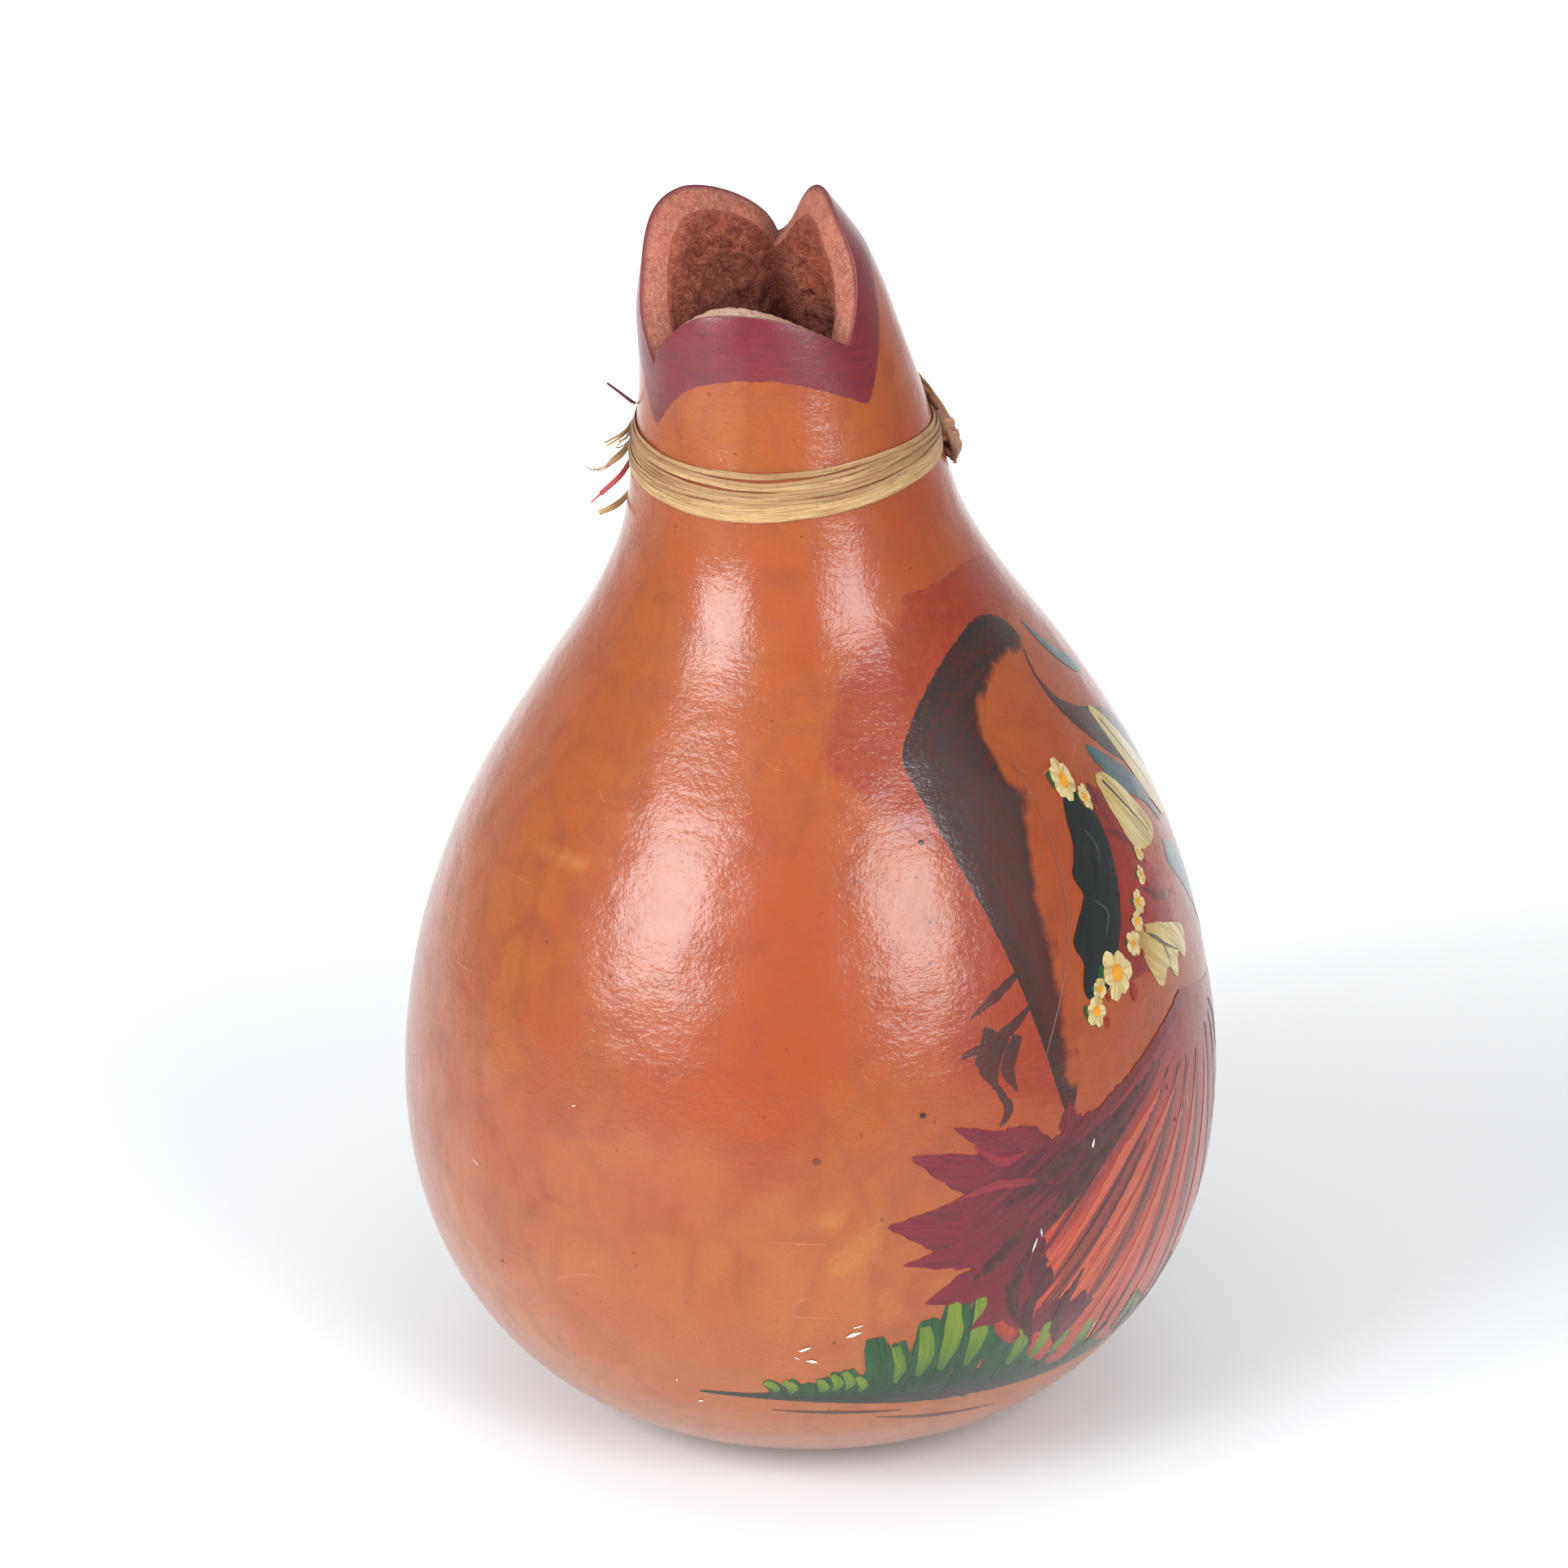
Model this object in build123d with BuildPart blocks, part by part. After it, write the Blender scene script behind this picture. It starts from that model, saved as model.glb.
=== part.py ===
"""A painted gourd vessel: a hollow dried gourd with a mouth cut into three petals,
and a raffia tie wound round its neck.

Millimetres. +Z is up, and the origin is the middle of the flat spot that the gourd
stands on. -Y is the front. An azimuth is in degrees from the front towards +X.
"""

import math
import os

from build123d import *

# ---- the gourd ----
WALL = 7.5
# (height along the centreline, outer radius), from the flat spot to the uncut top
PROFILE = (
    (0, 36.5),
    (5, 59),
    (16, 79),
    (36, 95.5),
    (64, 106.2),
    (98, 108),
    (135, 101.8),
    (172, 87.4),
    (205, 67),
    (228, 51.2),
    (246, 42.9),
    (264, 38.9),
    (284, 34.3),
    (307, 30.3),
    (330, 21.7),
    (338, 17.4),
)
# The centreline bends: above each of these heights it drifts, in x and y, by these
# factors times the square of the height above it.
BENDS = ((130, -0.0004, 0), (190, 0, -0.0006), (270, -0.0016, 0))
SCAR_RADIUS = 5  # the dimple where the blossom fell off, in the flat spot
SCAR_DEPTH = 1.2

# ---- the mouth, measured from a point on the centreline ----
MOUTH_HEIGHT = 300
CUT_NEAR = 1  # distances from the centreline between which the cuts run
CUT_FAR = 45
CUT_TOP = 60  # above MOUTH_HEIGHT, clear of the uncut top
OPEN_RADIUS = 9  # of the hollow, where it breaks through the uncut top
# Each petal: its notches and its tip as (azimuth, height above MOUTH_HEIGHT) on the
# outside, and how the edge swings from each notch to the tip: (sideways reach and height
# at the notch, sideways reach at the tip), as shares of the way from notch to tip. The
# fall is how steeply the cut face drops inwards at the tip.
LEFT_NOTCH = (-59, -2)
RIGHT_NOTCH = (42, -4.4)
BACK_NOTCH = (168, 7.5)
FULL_TURN = 360
FRONT_PETAL = {
    "notches": (LEFT_NOTCH, RIGHT_NOTCH),
    "tip": (-20, 11.8),
    "fall": 0.1,
    "swings": ((0.26, 0.34, 0.59), (0.37, 0.34, 0.58)),
}
RIGHT_PETAL = {
    "notches": (RIGHT_NOTCH, BACK_NOTCH),
    "tip": (108, 24.4),
    "fall": 0.9,
    "swings": ((0.93, 0.66, 0.5), (0.37, 0.08, 0.5)),
}
BACK_PETAL = {
    "notches": ((BACK_NOTCH[0] - FULL_TURN, BACK_NOTCH[1]), LEFT_NOTCH),
    "tip": (-143, 28.7),
    "fall": 0.75,
    "swings": ((0.02, 0.72, 0.93), (0.62, 0.45, 0.57)),
}

# ---- the raffia tie ----
STRAND_COUNT = 7
STRAND_WIDTH = 1.45
STRAND_THICKNESS = 0.7
LAY_GAP = 0.15  # between a strand and what it lies on
# The strands lie side by side on one side of the neck and draw together, two deep, at
# the knot: (azimuth, height of the lowest, step to the next, share of the second
# layer's lift) on the spread side, at the front and at the knot.
SPREAD = (-83, 263, 2, 0)
FRONT = (7, 260, 1.68, 0.5)
DRAWN = (97, 260.3, 1.23, 1)
END_RADIUS = 0.35
TUCK_AZIMUTH = -112  # where the strands' free ends leave the tie
END_SPLAY = 32  # degrees that a free end stands away from the neck
# strand number: (free end's length, rise towards its tip, sag in the middle)
FREE_ENDS = {
    1: (15.3, -16.3, 0.8),
    4: (18, -9.6, -1.3),
    5: (11.6, -7.6, 0.7),
    6: (17.2, -7.1, 0.6),
}
# name: (length, rise, sag, height above the lowest strand at the tuck)
DYED_FIBRES = {
    "red_fibre": (15.9, -17, 0.2, 4),
    "maroon_fibre": (7.7, 8.1, 0.1, 11.5),
}

KNOT_HEIGHT = 259.5
KNOT_LENGTH = 10  # along the neck
KNOT_BREADTH = 9
KNOT_DEPTH = 3.6
KNOT_FULLNESS = ((-1, 0.45), (-0.6, 0.84), (0, 1), (0.6, 0.84), (1, 0.45))
KNOT_GAP = 0.6  # between the knot and the end that hangs out of it
BIGHT_RADIUS = 1.4
# The doubled strand that comes down from the back into the knot, as (azimuth, height,
# distance from the neck)
BIGHT = ((128, 273.5, 1.8), (112, 270.5, 2.6), (100, 265.6, 4))
TAIL_LENGTH = 5
TAIL_SPLAY = 0.45  # how far the tail stands out, as a share of its length
TAIL_SIZES = ((0, 1.5), (0.5, 1.3), (1, 0.5))  # share of the length, radius


def centre_at(height):
    """The point of the gourd's centreline at a height."""
    x = sum(drift * max(0, height - start) ** 2 for start, drift, _ in BENDS)
    y = sum(drift * max(0, height - start) ** 2 for start, _, drift in BENDS)
    return Vector(x, y, height)


def section_plane(height):
    """The plane square to the centreline there, with its x towards +X."""
    slope_x = sum(2 * drift * max(0, height - start) for start, drift, _ in BENDS)
    slope_y = sum(2 * drift * max(0, height - start) for start, _, drift in BENDS)
    along = Vector(slope_x, slope_y, 1).normalized()
    across = Vector(1, 0, 0) - along * along.X
    return Plane(origin=centre_at(height), x_dir=across, z_dir=along)


def radial(plane, azimuth):
    """The direction away from the centreline at an azimuth, in that section plane."""
    turn = math.radians(azimuth)
    return plane.x_dir * math.sin(turn) - plane.y_dir * math.cos(turn)


def radius_at(height):
    """The neck's outer radius at a height, between the profile's points."""
    for (low, wide), (high, narrow) in zip(PROFILE, PROFILE[1:]):
        if low <= height <= high:
            return wide + (narrow - wide) * (height - low) / (high - low)
    raise ValueError(f"no profile at {height}")


def inner_profile():
    """The profile moved in by the wall, square to the surface."""
    inner = []
    for k, (height, radius) in enumerate(PROFILE):
        before = PROFILE[max(k - 1, 0)]
        after = PROFILE[min(k + 1, len(PROFILE) - 1)]
        rise = after[0] - before[0]
        widening = after[1] - before[1]
        slant = math.hypot(rise, widening)
        inner.append((height + WALL * widening / slant, radius - WALL * rise / slant))
    # past the top of the outside, so that the hollow is open there
    inner.append((PROFILE[-1][0] + WALL, OPEN_RADIUS))
    return inner


def petal_sketch(mouth, distance, petal):
    """The space over one petal's edge, at a distance from the centreline."""
    left, right = petal["notches"]
    left_swing, right_swing = petal["swings"]
    middle = (left[0] + right[0]) / 2
    azimuth, height = petal["tip"]
    outside = radius_at(MOUTH_HEIGHT + height) * math.cos(math.radians(azimuth - middle))
    tip = (azimuth, height - petal["fall"] * (outside - distance))

    def spot(azimuth, height):
        return distance * math.tan(math.radians(azimuth - middle)), height

    def swing(notch, shares):
        side, rise, reach = shares
        (x0, y0), (x1, y1) = spot(*notch), spot(*tip)
        return (
            (x0 + (x1 - x0) * side, y0 + (y1 - y0) * rise),
            (x0 + (x1 - x0) * reach, y1),
        )

    out = radial(mouth, middle)
    plane = Plane(
        origin=mouth.origin + out * distance,
        x_dir=mouth.z_dir.cross(out),
        z_dir=out,
    )
    with BuildSketch(plane) as over:
        with BuildLine():
            Bezier(spot(*left), *swing(left, left_swing), spot(*tip))
            Bezier(spot(*tip), *reversed(swing(right, right_swing)), spot(*right))
            Polyline(
                spot(*right),
                (spot(*right)[0], CUT_TOP),
                (spot(*left)[0], CUT_TOP),
                spot(*left),
            )
        make_face()
    return over


def make_gourd():
    mouth = section_plane(MOUTH_HEIGHT)
    with BuildPart() as gourd:
        for height, radius in PROFILE:
            with BuildSketch(section_plane(height)):
                Circle(radius)
        loft()
        for height, radius in inner_profile():
            with BuildSketch(section_plane(height)):
                Circle(radius)
        loft(mode=Mode.SUBTRACT)
        for petal in (FRONT_PETAL, RIGHT_PETAL, BACK_PETAL):
            sections = [
                petal_sketch(mouth, distance, petal).sketch
                for distance in (CUT_NEAR, CUT_FAR)
            ]
            loft(sections, ruled=True, mode=Mode.SUBTRACT)
        ball = (SCAR_RADIUS**2 + SCAR_DEPTH**2) / (2 * SCAR_DEPTH)
        with Locations((0, 0, SCAR_DEPTH - ball)):
            Sphere(ball, mode=Mode.SUBTRACT)
    return gourd


def strand_point(number, station):
    """Where the middle of a strand passes one of the tie's three stations."""
    azimuth, lowest, step, lift = station
    plane = section_plane(lowest + step * (number - 1))
    reach = radius_at(plane.origin.Z) + LAY_GAP + STRAND_THICKNESS / 2
    if number % 2 == 0:
        reach += lift * (STRAND_THICKNESS + LAY_GAP)
    return plane.origin + radial(plane, azimuth) * reach


def strand_ring(number):
    """The plane of a strand's turn, through its three stations, and its radius."""
    knot, front, spread = (strand_point(number, s) for s in (DRAWN, FRONT, SPREAD))
    one, two = front - knot, spread - knot
    normal = two.cross(one)
    toward = two.cross(normal) * -one.dot(one) + one.cross(normal) * two.dot(two)
    centre = knot + toward * (1 / (2 * normal.dot(normal)))
    ring = Plane(origin=centre, x_dir=knot - centre, z_dir=normal)
    return ring, (knot - centre).length


def end_path(start, plane, length, rise, sag):
    """A free end's three points: it leaves the neck sideways and outwards."""
    out = radial(plane, TUCK_AZIMUTH)
    along = radial(plane, TUCK_AZIMUTH + 90)
    splay = math.radians(END_SPLAY)
    heading = along * math.cos(splay) + out * math.sin(splay)
    tip = start + heading * length + plane.z_dir * rise
    middle = (start + tip) * 0.5 + plane.z_dir * sag
    return start, middle, tip


def sweep_end(points):
    """A thin round fibre along an arc, as part of the open BuildPart."""
    with BuildLine() as path:
        ThreePointArc(*points)
    with BuildSketch(Plane(origin=path.line @ 0, z_dir=path.line % 0)) as tip:
        Circle(END_RADIUS)
    sweep(tip.sketch, path=path.line)


def make_strand(number):
    ring, ring_radius = strand_ring(number)
    low, high = FRONT[1], FRONT[1] + FRONT[2] * STRAND_COUNT
    lean = math.degrees(math.atan2(radius_at(low) - radius_at(high), high - low))
    meridian = Plane(origin=ring.origin, x_dir=ring.x_dir, z_dir=ring.y_dir * -1)
    with BuildPart() as strand:
        with BuildSketch(meridian):
            with Locations((ring_radius, 0)):
                Ellipse(STRAND_THICKNESS / 2, STRAND_WIDTH / 2, rotation=lean)
        revolve(axis=Axis(ring.origin, ring.z_dir))
        if number in FREE_ENDS:
            tuck = section_plane(SPREAD[1] + SPREAD[2] * (number - 1))
            out = radial(tuck, TUCK_AZIMUTH)
            flat = (out - ring.z_dir * out.dot(ring.z_dir)).normalized()
            start = ring.origin + flat * ring_radius
            sweep_end(end_path(start, tuck, *FREE_ENDS[number]))
    return strand


def make_dyed_fibre(length, rise, sag, height):
    """A dyed fibre pinched against the outside of the tie."""
    plane = section_plane(SPREAD[1] + height)
    out = radial(plane, TUCK_AZIMUTH)
    clear = STRAND_THICKNESS + LAY_GAP * 3 + END_RADIUS
    start = plane.origin + out * (radius_at(SPREAD[1] + height) + clear)
    with BuildPart() as fibre:
        sweep_end(end_path(start, plane, length, rise, sag))
    return fibre


def knot_frame():
    """The knot's own plane: z away from the neck, y up along it."""
    plane = section_plane(KNOT_HEIGHT)
    out = radial(plane, DRAWN[0])
    lay = 2 * (STRAND_THICKNESS + 2 * LAY_GAP) + KNOT_DEPTH / 2
    return Plane(
        origin=plane.origin + out * (radius_at(KNOT_HEIGHT) + lay),
        x_dir=plane.z_dir.cross(out),
        z_dir=out,
    )


def make_knot():
    """The body of the knot: a rounded lump, longer along the neck."""
    frame = knot_frame()
    with BuildPart() as knot:
        for share, fullness in KNOT_FULLNESS:
            plane = Plane(
                origin=frame.origin + frame.y_dir * share * KNOT_LENGTH / 2,
                x_dir=frame.x_dir,
                z_dir=frame.y_dir,
            )
            with BuildSketch(plane):
                Ellipse(KNOT_BREADTH / 2 * fullness, KNOT_DEPTH / 2 * fullness)
        loft()
    return knot


def make_bight():
    """The doubled strand that comes down from the back into the knot."""
    points = []
    for azimuth, height, distance in BIGHT:
        plane = section_plane(height)
        reach = radius_at(height) + distance
        points.append(plane.origin + radial(plane, azimuth) * reach)
    with BuildPart() as bight:
        with BuildLine() as path:
            ThreePointArc(*points)
        with BuildSketch(Plane(origin=path.line @ 0, z_dir=path.line % 0)):
            Circle(BIGHT_RADIUS)
        sweep(path=path.line)
    return bight


def make_knot_tail():
    """The short cut end that points down out of the knot."""
    frame = knot_frame()
    start = frame.origin - frame.y_dir * (KNOT_LENGTH / 2 + KNOT_GAP)
    heading = frame.z_dir * TAIL_SPLAY - frame.y_dir
    with BuildPart() as tail:
        for share, size in TAIL_SIZES:
            plane = Plane(
                origin=start + heading * TAIL_LENGTH * share,
                x_dir=frame.x_dir,
                z_dir=heading,
            )
            with BuildSketch(plane):
                Circle(size)
        loft()
    return tail


def save(name, piece):
    piece.part.label = name
    export_step(piece.part, f"parts/{name}.step")
    print(f"{name}: {len(piece.part.solids())} solid, {piece.part.volume:.1f} mm3")


def main():
    os.makedirs("parts", exist_ok=True)
    save("gourd_shell", make_gourd())
    for number in range(1, STRAND_COUNT + 1):
        save(f"raffia_strand_{number}", make_strand(number))
    for name, shape in DYED_FIBRES.items():
        save(name, make_dyed_fibre(*shape))
    save("raffia_knot", make_knot())
    save("raffia_bight", make_bight())
    save("raffia_knot_tail", make_knot_tail())


main()
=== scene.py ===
"""A painted gourd vessel with a raffia tie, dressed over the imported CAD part.

Lengths are millimetres in the CAD's frame until a mesh is made, which is in metres.
+Z is up, -Y is the front, and an azimuth is in degrees from the front towards +X.
"""

import math
import random

import bpy
import numpy as np
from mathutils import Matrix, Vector, geometry, noise
from mathutils.bvhtree import BVHTree


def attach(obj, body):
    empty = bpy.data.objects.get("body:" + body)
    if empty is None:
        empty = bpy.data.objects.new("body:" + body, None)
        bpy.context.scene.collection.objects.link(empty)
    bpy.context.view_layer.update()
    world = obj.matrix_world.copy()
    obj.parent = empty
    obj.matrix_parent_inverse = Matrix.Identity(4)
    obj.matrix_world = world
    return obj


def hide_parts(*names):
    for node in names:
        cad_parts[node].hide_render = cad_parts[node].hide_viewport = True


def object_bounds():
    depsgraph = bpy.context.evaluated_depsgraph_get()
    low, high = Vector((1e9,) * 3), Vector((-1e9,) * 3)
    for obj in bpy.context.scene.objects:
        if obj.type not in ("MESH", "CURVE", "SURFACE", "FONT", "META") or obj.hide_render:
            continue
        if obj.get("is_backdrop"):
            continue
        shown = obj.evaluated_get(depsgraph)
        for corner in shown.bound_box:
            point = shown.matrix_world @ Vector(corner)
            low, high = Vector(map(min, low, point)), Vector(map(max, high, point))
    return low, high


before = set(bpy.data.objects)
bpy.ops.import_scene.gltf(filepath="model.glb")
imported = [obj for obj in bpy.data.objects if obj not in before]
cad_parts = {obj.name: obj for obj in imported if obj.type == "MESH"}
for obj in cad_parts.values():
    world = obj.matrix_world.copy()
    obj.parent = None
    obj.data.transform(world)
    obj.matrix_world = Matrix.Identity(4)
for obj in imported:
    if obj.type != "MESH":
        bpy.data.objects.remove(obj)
CAD_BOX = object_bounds()
MM = 0.001
FULL_TURN = 360

# ---- the gourd's own axes, as in the CAD ----
BENDS = ((130, -0.0004, 0), (190, 0, -0.0006), (270, -0.0016, 0))  # from, and how fast in x and y
MOUTH_HEIGHT = 300
NOTCHES = (-59, 42, 168)  # azimuths about the mouth's axis
WALL = 7.5
FOOT_PASSES = 4  # of the search for the centreline's nearest point


# ======== small tools ========
def centres(height):
    """The centreline's points at these heights."""
    height = np.asarray(height, float)
    bent = [sum(b[k] * np.maximum(0, height - b[0]) ** 2 for b in BENDS) for k in (1, 2)]
    return np.stack([*bent, height], -1)


def axes(height):
    """The centreline's axes at these heights: across (+X), back (+Y) and along."""
    height = np.asarray(height, float)
    lean = [sum(2 * b[k] * np.maximum(0, height - b[0]) for b in BENDS) for k in (1, 2)]
    along = unit(np.stack([*lean, np.ones_like(height)], -1))
    across = unit(np.array([1.0, 0, 0]) - along * along[..., :1])
    return across, np.cross(along, across), along


def heights_of(points):
    """The heights of the centreline's points that are nearest to these points."""
    height = points[..., 2].copy()
    for _ in range(FOOT_PASSES):
        height += ((points - centres(height)) * axes(height)[2]).sum(-1)
    return height


def points_of(mesh):
    points = np.empty(len(mesh.vertices) * 3)
    mesh.vertices.foreach_get("co", points)
    return points.reshape(-1, 3) / MM


def unit(vectors):
    return vectors / np.linalg.norm(vectors, axis=-1, keepdims=True)


def run_along(points):
    """How far along a line each of its points is."""
    return np.r_[0, np.cumsum(np.linalg.norm(np.diff(points, axis=0), axis=1))]


def radial(axis, azimuth):
    """The directions away from an axis at these azimuths, in degrees."""
    turn = np.radians(azimuth)[..., None]
    return axis[0] * np.sin(turn) - axis[1] * np.cos(turn)


def surface(azimuth, height, stand=0.0):
    """Points of the gourd's outside, or ones that stand off it."""
    azimuth, height = np.broadcast_arrays(np.asarray(azimuth, float), np.asarray(height, float))
    reach = radius_at(height)[..., None] + np.asarray(stand, float)[..., None]
    return centres(height) + radial(axes(height), azimuth) * reach


def radius_at(height):
    return np.interp(height, PROFILE_HEIGHTS, PROFILE_RADII)


def cad_profile():
    """The outside's smooth profile, read from the CAD solid: heights and radii."""
    points = points_of(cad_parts["gourd_shell"].data)
    height = heights_of(points)
    distance = np.linalg.norm(points - centres(height), axis=-1)
    levels = np.arange(1.0, PROFILE_TOP, PROFILE_STEP)
    widths = [widest(level) for level in levels]
    outer = (height > 0.5) & (abs(distance - np.interp(height, levels, widths)) < SKIN_GAP)
    order = np.argsort(height[outer])
    rows = np.stack([height[outer][order], distance[outer][order]], -1)
    flat = distance[(height < 0.05) & (distance < WIDEST_FLAT)].max()
    rows = rows[rows[:, 0] < PROFILE_TOP]
    taper = rows[-1] - rows[-TAPER_ROWS]
    tip = rows[-1] + taper * (TIP_ROOM / taper[0])
    rows = np.concatenate([[(0, 0), (0, flat / 2), (0, flat)], rows, [tip]])
    return smooth_line(rows[np.r_[True, np.diff(rows[:, 0]) > LEAST_RISE] | (rows[:, 0] == 0)])


def widest(height):
    """The outside's greatest radius at a height, as rays find it."""
    out = radial(axes(height), np.arange(0, FULL_TURN, 15.0))
    middle = centres(height)
    found = []
    for direction in out:
        point, _ = cad_ray(middle + direction * REACH, -direction, REACH)
        if point is not None:
            found.append((point - middle) @ direction)
    return max(found, default=0)


def smooth_line(points):
    """A line resampled every millimetre and evened out."""
    run = run_along(points)
    steps = np.arange(0, run[-1], 1.0)
    line = np.stack([np.interp(steps, run, points[:, k]) for k in (0, 1)], -1)
    reach = 3 * SMOOTHING
    weights = np.exp(-0.5 * (np.arange(-reach, reach + 1) / SMOOTHING) ** 2)
    weights /= weights.sum()
    ends = (2 * line[0] - line[reach:0:-1], 2 * line[-1] - line[-2 : -reach - 2 : -1])
    padded = np.concatenate([ends[0], line, ends[1]])
    return np.stack([np.convolve(padded[:, k], weights, "valid") for k in (0, 1)], -1)


def tree_of_mesh(mesh):
    return BVHTree.FromPolygons(
        [v.co / MM for v in mesh.vertices], [p.vertices for p in mesh.polygons]
    )


def cad_ray(start, direction, reach):
    """Where a ray meets the CAD gourd: the point and the normal, as arrays."""
    point, normal = GOURD.ray_cast(Vector(start), Vector(direction), reach)[:2]
    return (None, None) if point is None else (np.array(point), np.array(normal))


REACH = 200  # how far outside the rays start
PROFILE_TOP = 326
TIP_ROOM = 20  # how far past it the profile runs on
PROFILE_STEP = 3
SMOOTHING = 3  # the spread over which the profile is evened out
SKIN_GAP = 0.6  # a point of the outside is this near the widest radius at its height
WIDEST_FLAT = 50  # the flat spot's radius is less than this
TAPER_ROWS = 20  # the rows that say how the profile runs on
LEAST_RISE = 0.4  # between two of the profile's rows
GOURD = tree_of_mesh(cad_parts["gourd_shell"].data)
PROFILE = cad_profile()
PROFILE_HEIGHTS, PROFILE_RADII = PROFILE[PROFILE[:, 0] > 0.5].T
NECK_RADIUS, SKIN_PASSES = 34.0, 6  # where the search for the skin starts, and its steps
MOUTH = centres(MOUTH_HEIGHT)
MOUTH_AXES = axes(MOUTH_HEIGHT)


def mouth_point(azimuth, height, distance):
    """Points by azimuth, height and distance about the mouth's own straight axis."""
    azimuth, height, distance = np.broadcast_arrays(azimuth, height, distance)
    out = radial(MOUTH_AXES, np.asarray(azimuth, float))
    return MOUTH + out * distance[..., None] + MOUTH_AXES[2] * height[..., None]


def mouth_skin(azimuth, height):
    """The outside's distance from the mouth's axis."""
    azimuth, height = np.broadcast_arrays(np.asarray(azimuth, float), np.asarray(height, float))
    distance = np.full(azimuth.shape, NECK_RADIUS)
    for _ in range(SKIN_PASSES):
        point = mouth_point(azimuth, height, distance)
        foot = heights_of(point)
        distance += radius_at(foot) - np.linalg.norm(point - centres(foot), axis=-1)
    return distance


def new_piece(name, points, faces, slot, replaced=()):
    """A smooth mesh; with a slot it rides on the root body."""
    mesh = bpy.data.meshes.new(name)
    mesh.from_pydata((np.asarray(points) * MM).tolist(), [], faces)
    mesh.validate()
    mesh.polygons.foreach_set("use_smooth", [True] * len(mesh.polygons))
    piece = bpy.data.objects.new(name, mesh)
    bpy.context.scene.collection.objects.link(piece)
    if slot:
        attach(piece, "root")
    for node in replaced:
        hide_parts(node)
    return piece


def set_values(piece, kind="FLOAT", **layers):
    """Numbers, vectors or colours for each point, which the materials read by name."""
    field = {"FLOAT": "value", "FLOAT_VECTOR": "vector", "FLOAT_COLOR": "color"}[kind]
    for name, values in layers.items():
        values = np.asarray(values, np.float32)
        if kind == "FLOAT_COLOR":
            values = np.column_stack([values, np.ones(len(values), np.float32)])
        layer = piece.data.attributes.new(name, kind, "POINT")
        layer.data.foreach_set(field, values.ravel())


def fractal(points, rate, gap=2.1, octaves=4):
    """Fractal noise at each point, about -1 to 1."""
    return np.array([noise.fractal(Vector(p) * rate, 0.7, gap, octaves) for p in points])


def srgb(red, green, blue):
    """A colour given as it looks on a screen, 0 to 255, made linear."""
    return tuple(
        v / 12.92 if v <= 0.04045 else ((v + 0.055) / 1.055) ** 2.4
        for v in (red / 255, green / 255, blue / 255)
    )


class Shader:
    """A material's node tree, with a short call for each kind of node."""

    def __init__(self, name):
        self.material = bpy.data.materials.new(name)
        self.material.use_nodes = True
        self.tree = self.material.node_tree
        self.surface = self.tree.nodes["Principled BSDF"]

    def node(self, kind, inputs=(), **settings):
        """A new node with these settings; inputs are its sockets, by name or place."""
        node = self.tree.nodes.new("ShaderNode" + kind)
        for key, value in settings.items():
            setattr(node, key, value)
        for key, value in dict(inputs).items():
            self.feed(node.inputs[key], value)
        return node

    def feed(self, socket, value):
        if isinstance(value, bpy.types.NodeSocket):
            self.tree.links.new(value, socket)
        elif isinstance(value, (tuple, list)) and socket.type == "RGBA":
            socket.default_value = (*value[:3], 1)
        else:
            socket.default_value = value

    def set(self, **values):
        for key, value in values.items():
            self.feed(self.surface.inputs[key.replace("_", " ")], value)

    def stretch(self, vector, scale):
        return self.node("Mapping", {"Vector": vector, "Scale": scale}).outputs[0]

    def place(self, scale=(1, 1, 1)):
        """The object's own coordinates, in millimetres, times the scale."""
        source = self.node("TexCoord").outputs["Object"]
        return self.stretch(source, tuple(s / MM for s in scale))

    def attribute(self, name, output="Fac"):
        return self.node("Attribute", attribute_name=name).outputs[output]

    def noise(self, where, scale=1.0, detail=3.0, rough=0.5, bend=0.0):
        shape = {"Scale": scale, "Detail": detail, "Roughness": rough, "Distortion": bend}
        return self.node("TexNoise", {"Vector": where, **shape}).outputs["Fac"]

    def cracks(self, where):
        """The distance to the borders between random cells."""
        cells = {"Vector": where, "Scale": 1.0}
        return self.node("TexVoronoi", cells, feature="DISTANCE_TO_EDGE").outputs["Distance"]

    def ramp(self, value, low, high, start=0.0, end=1.0):
        """value between low and high, mapped to start and end, smoothly."""
        ends = {"From Min": low, "From Max": high, "To Min": start, "To Max": end}
        inputs = {"Value": value, **ends}
        return self.node("MapRange", inputs, interpolation_type="SMOOTHSTEP").outputs[0]

    def mix(self, share, first, second):
        inputs = {0: share, 6: first, 7: second}
        return self.node("Mix", inputs, data_type="RGBA", blend_type="MIX").outputs[2]

    def over(self, colour, *coats):
        """A colour under coats of others, each given as where it shows (a value, the two
        ends of its ramp and its most) and its colour."""
        for value, low, high, most, coat in coats:
            colour = self.mix(self.ramp(value, low, high, 0.0, most), colour, coat)
        return colour

    def math(self, how, first, second=0.0):
        return self.node("Math", {0: first, 1: second}, operation=how).outputs[0]

    def times(self, first, second):
        return self.math("MULTIPLY", first, second)

    def bump(self, height, depth, strength=1.0, under=None):
        inputs = {"Height": height, "Distance": depth * MM, "Strength": strength}
        if under is not None:
            inputs["Normal"] = under
        return self.node("Bump", inputs).outputs[0]


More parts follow.
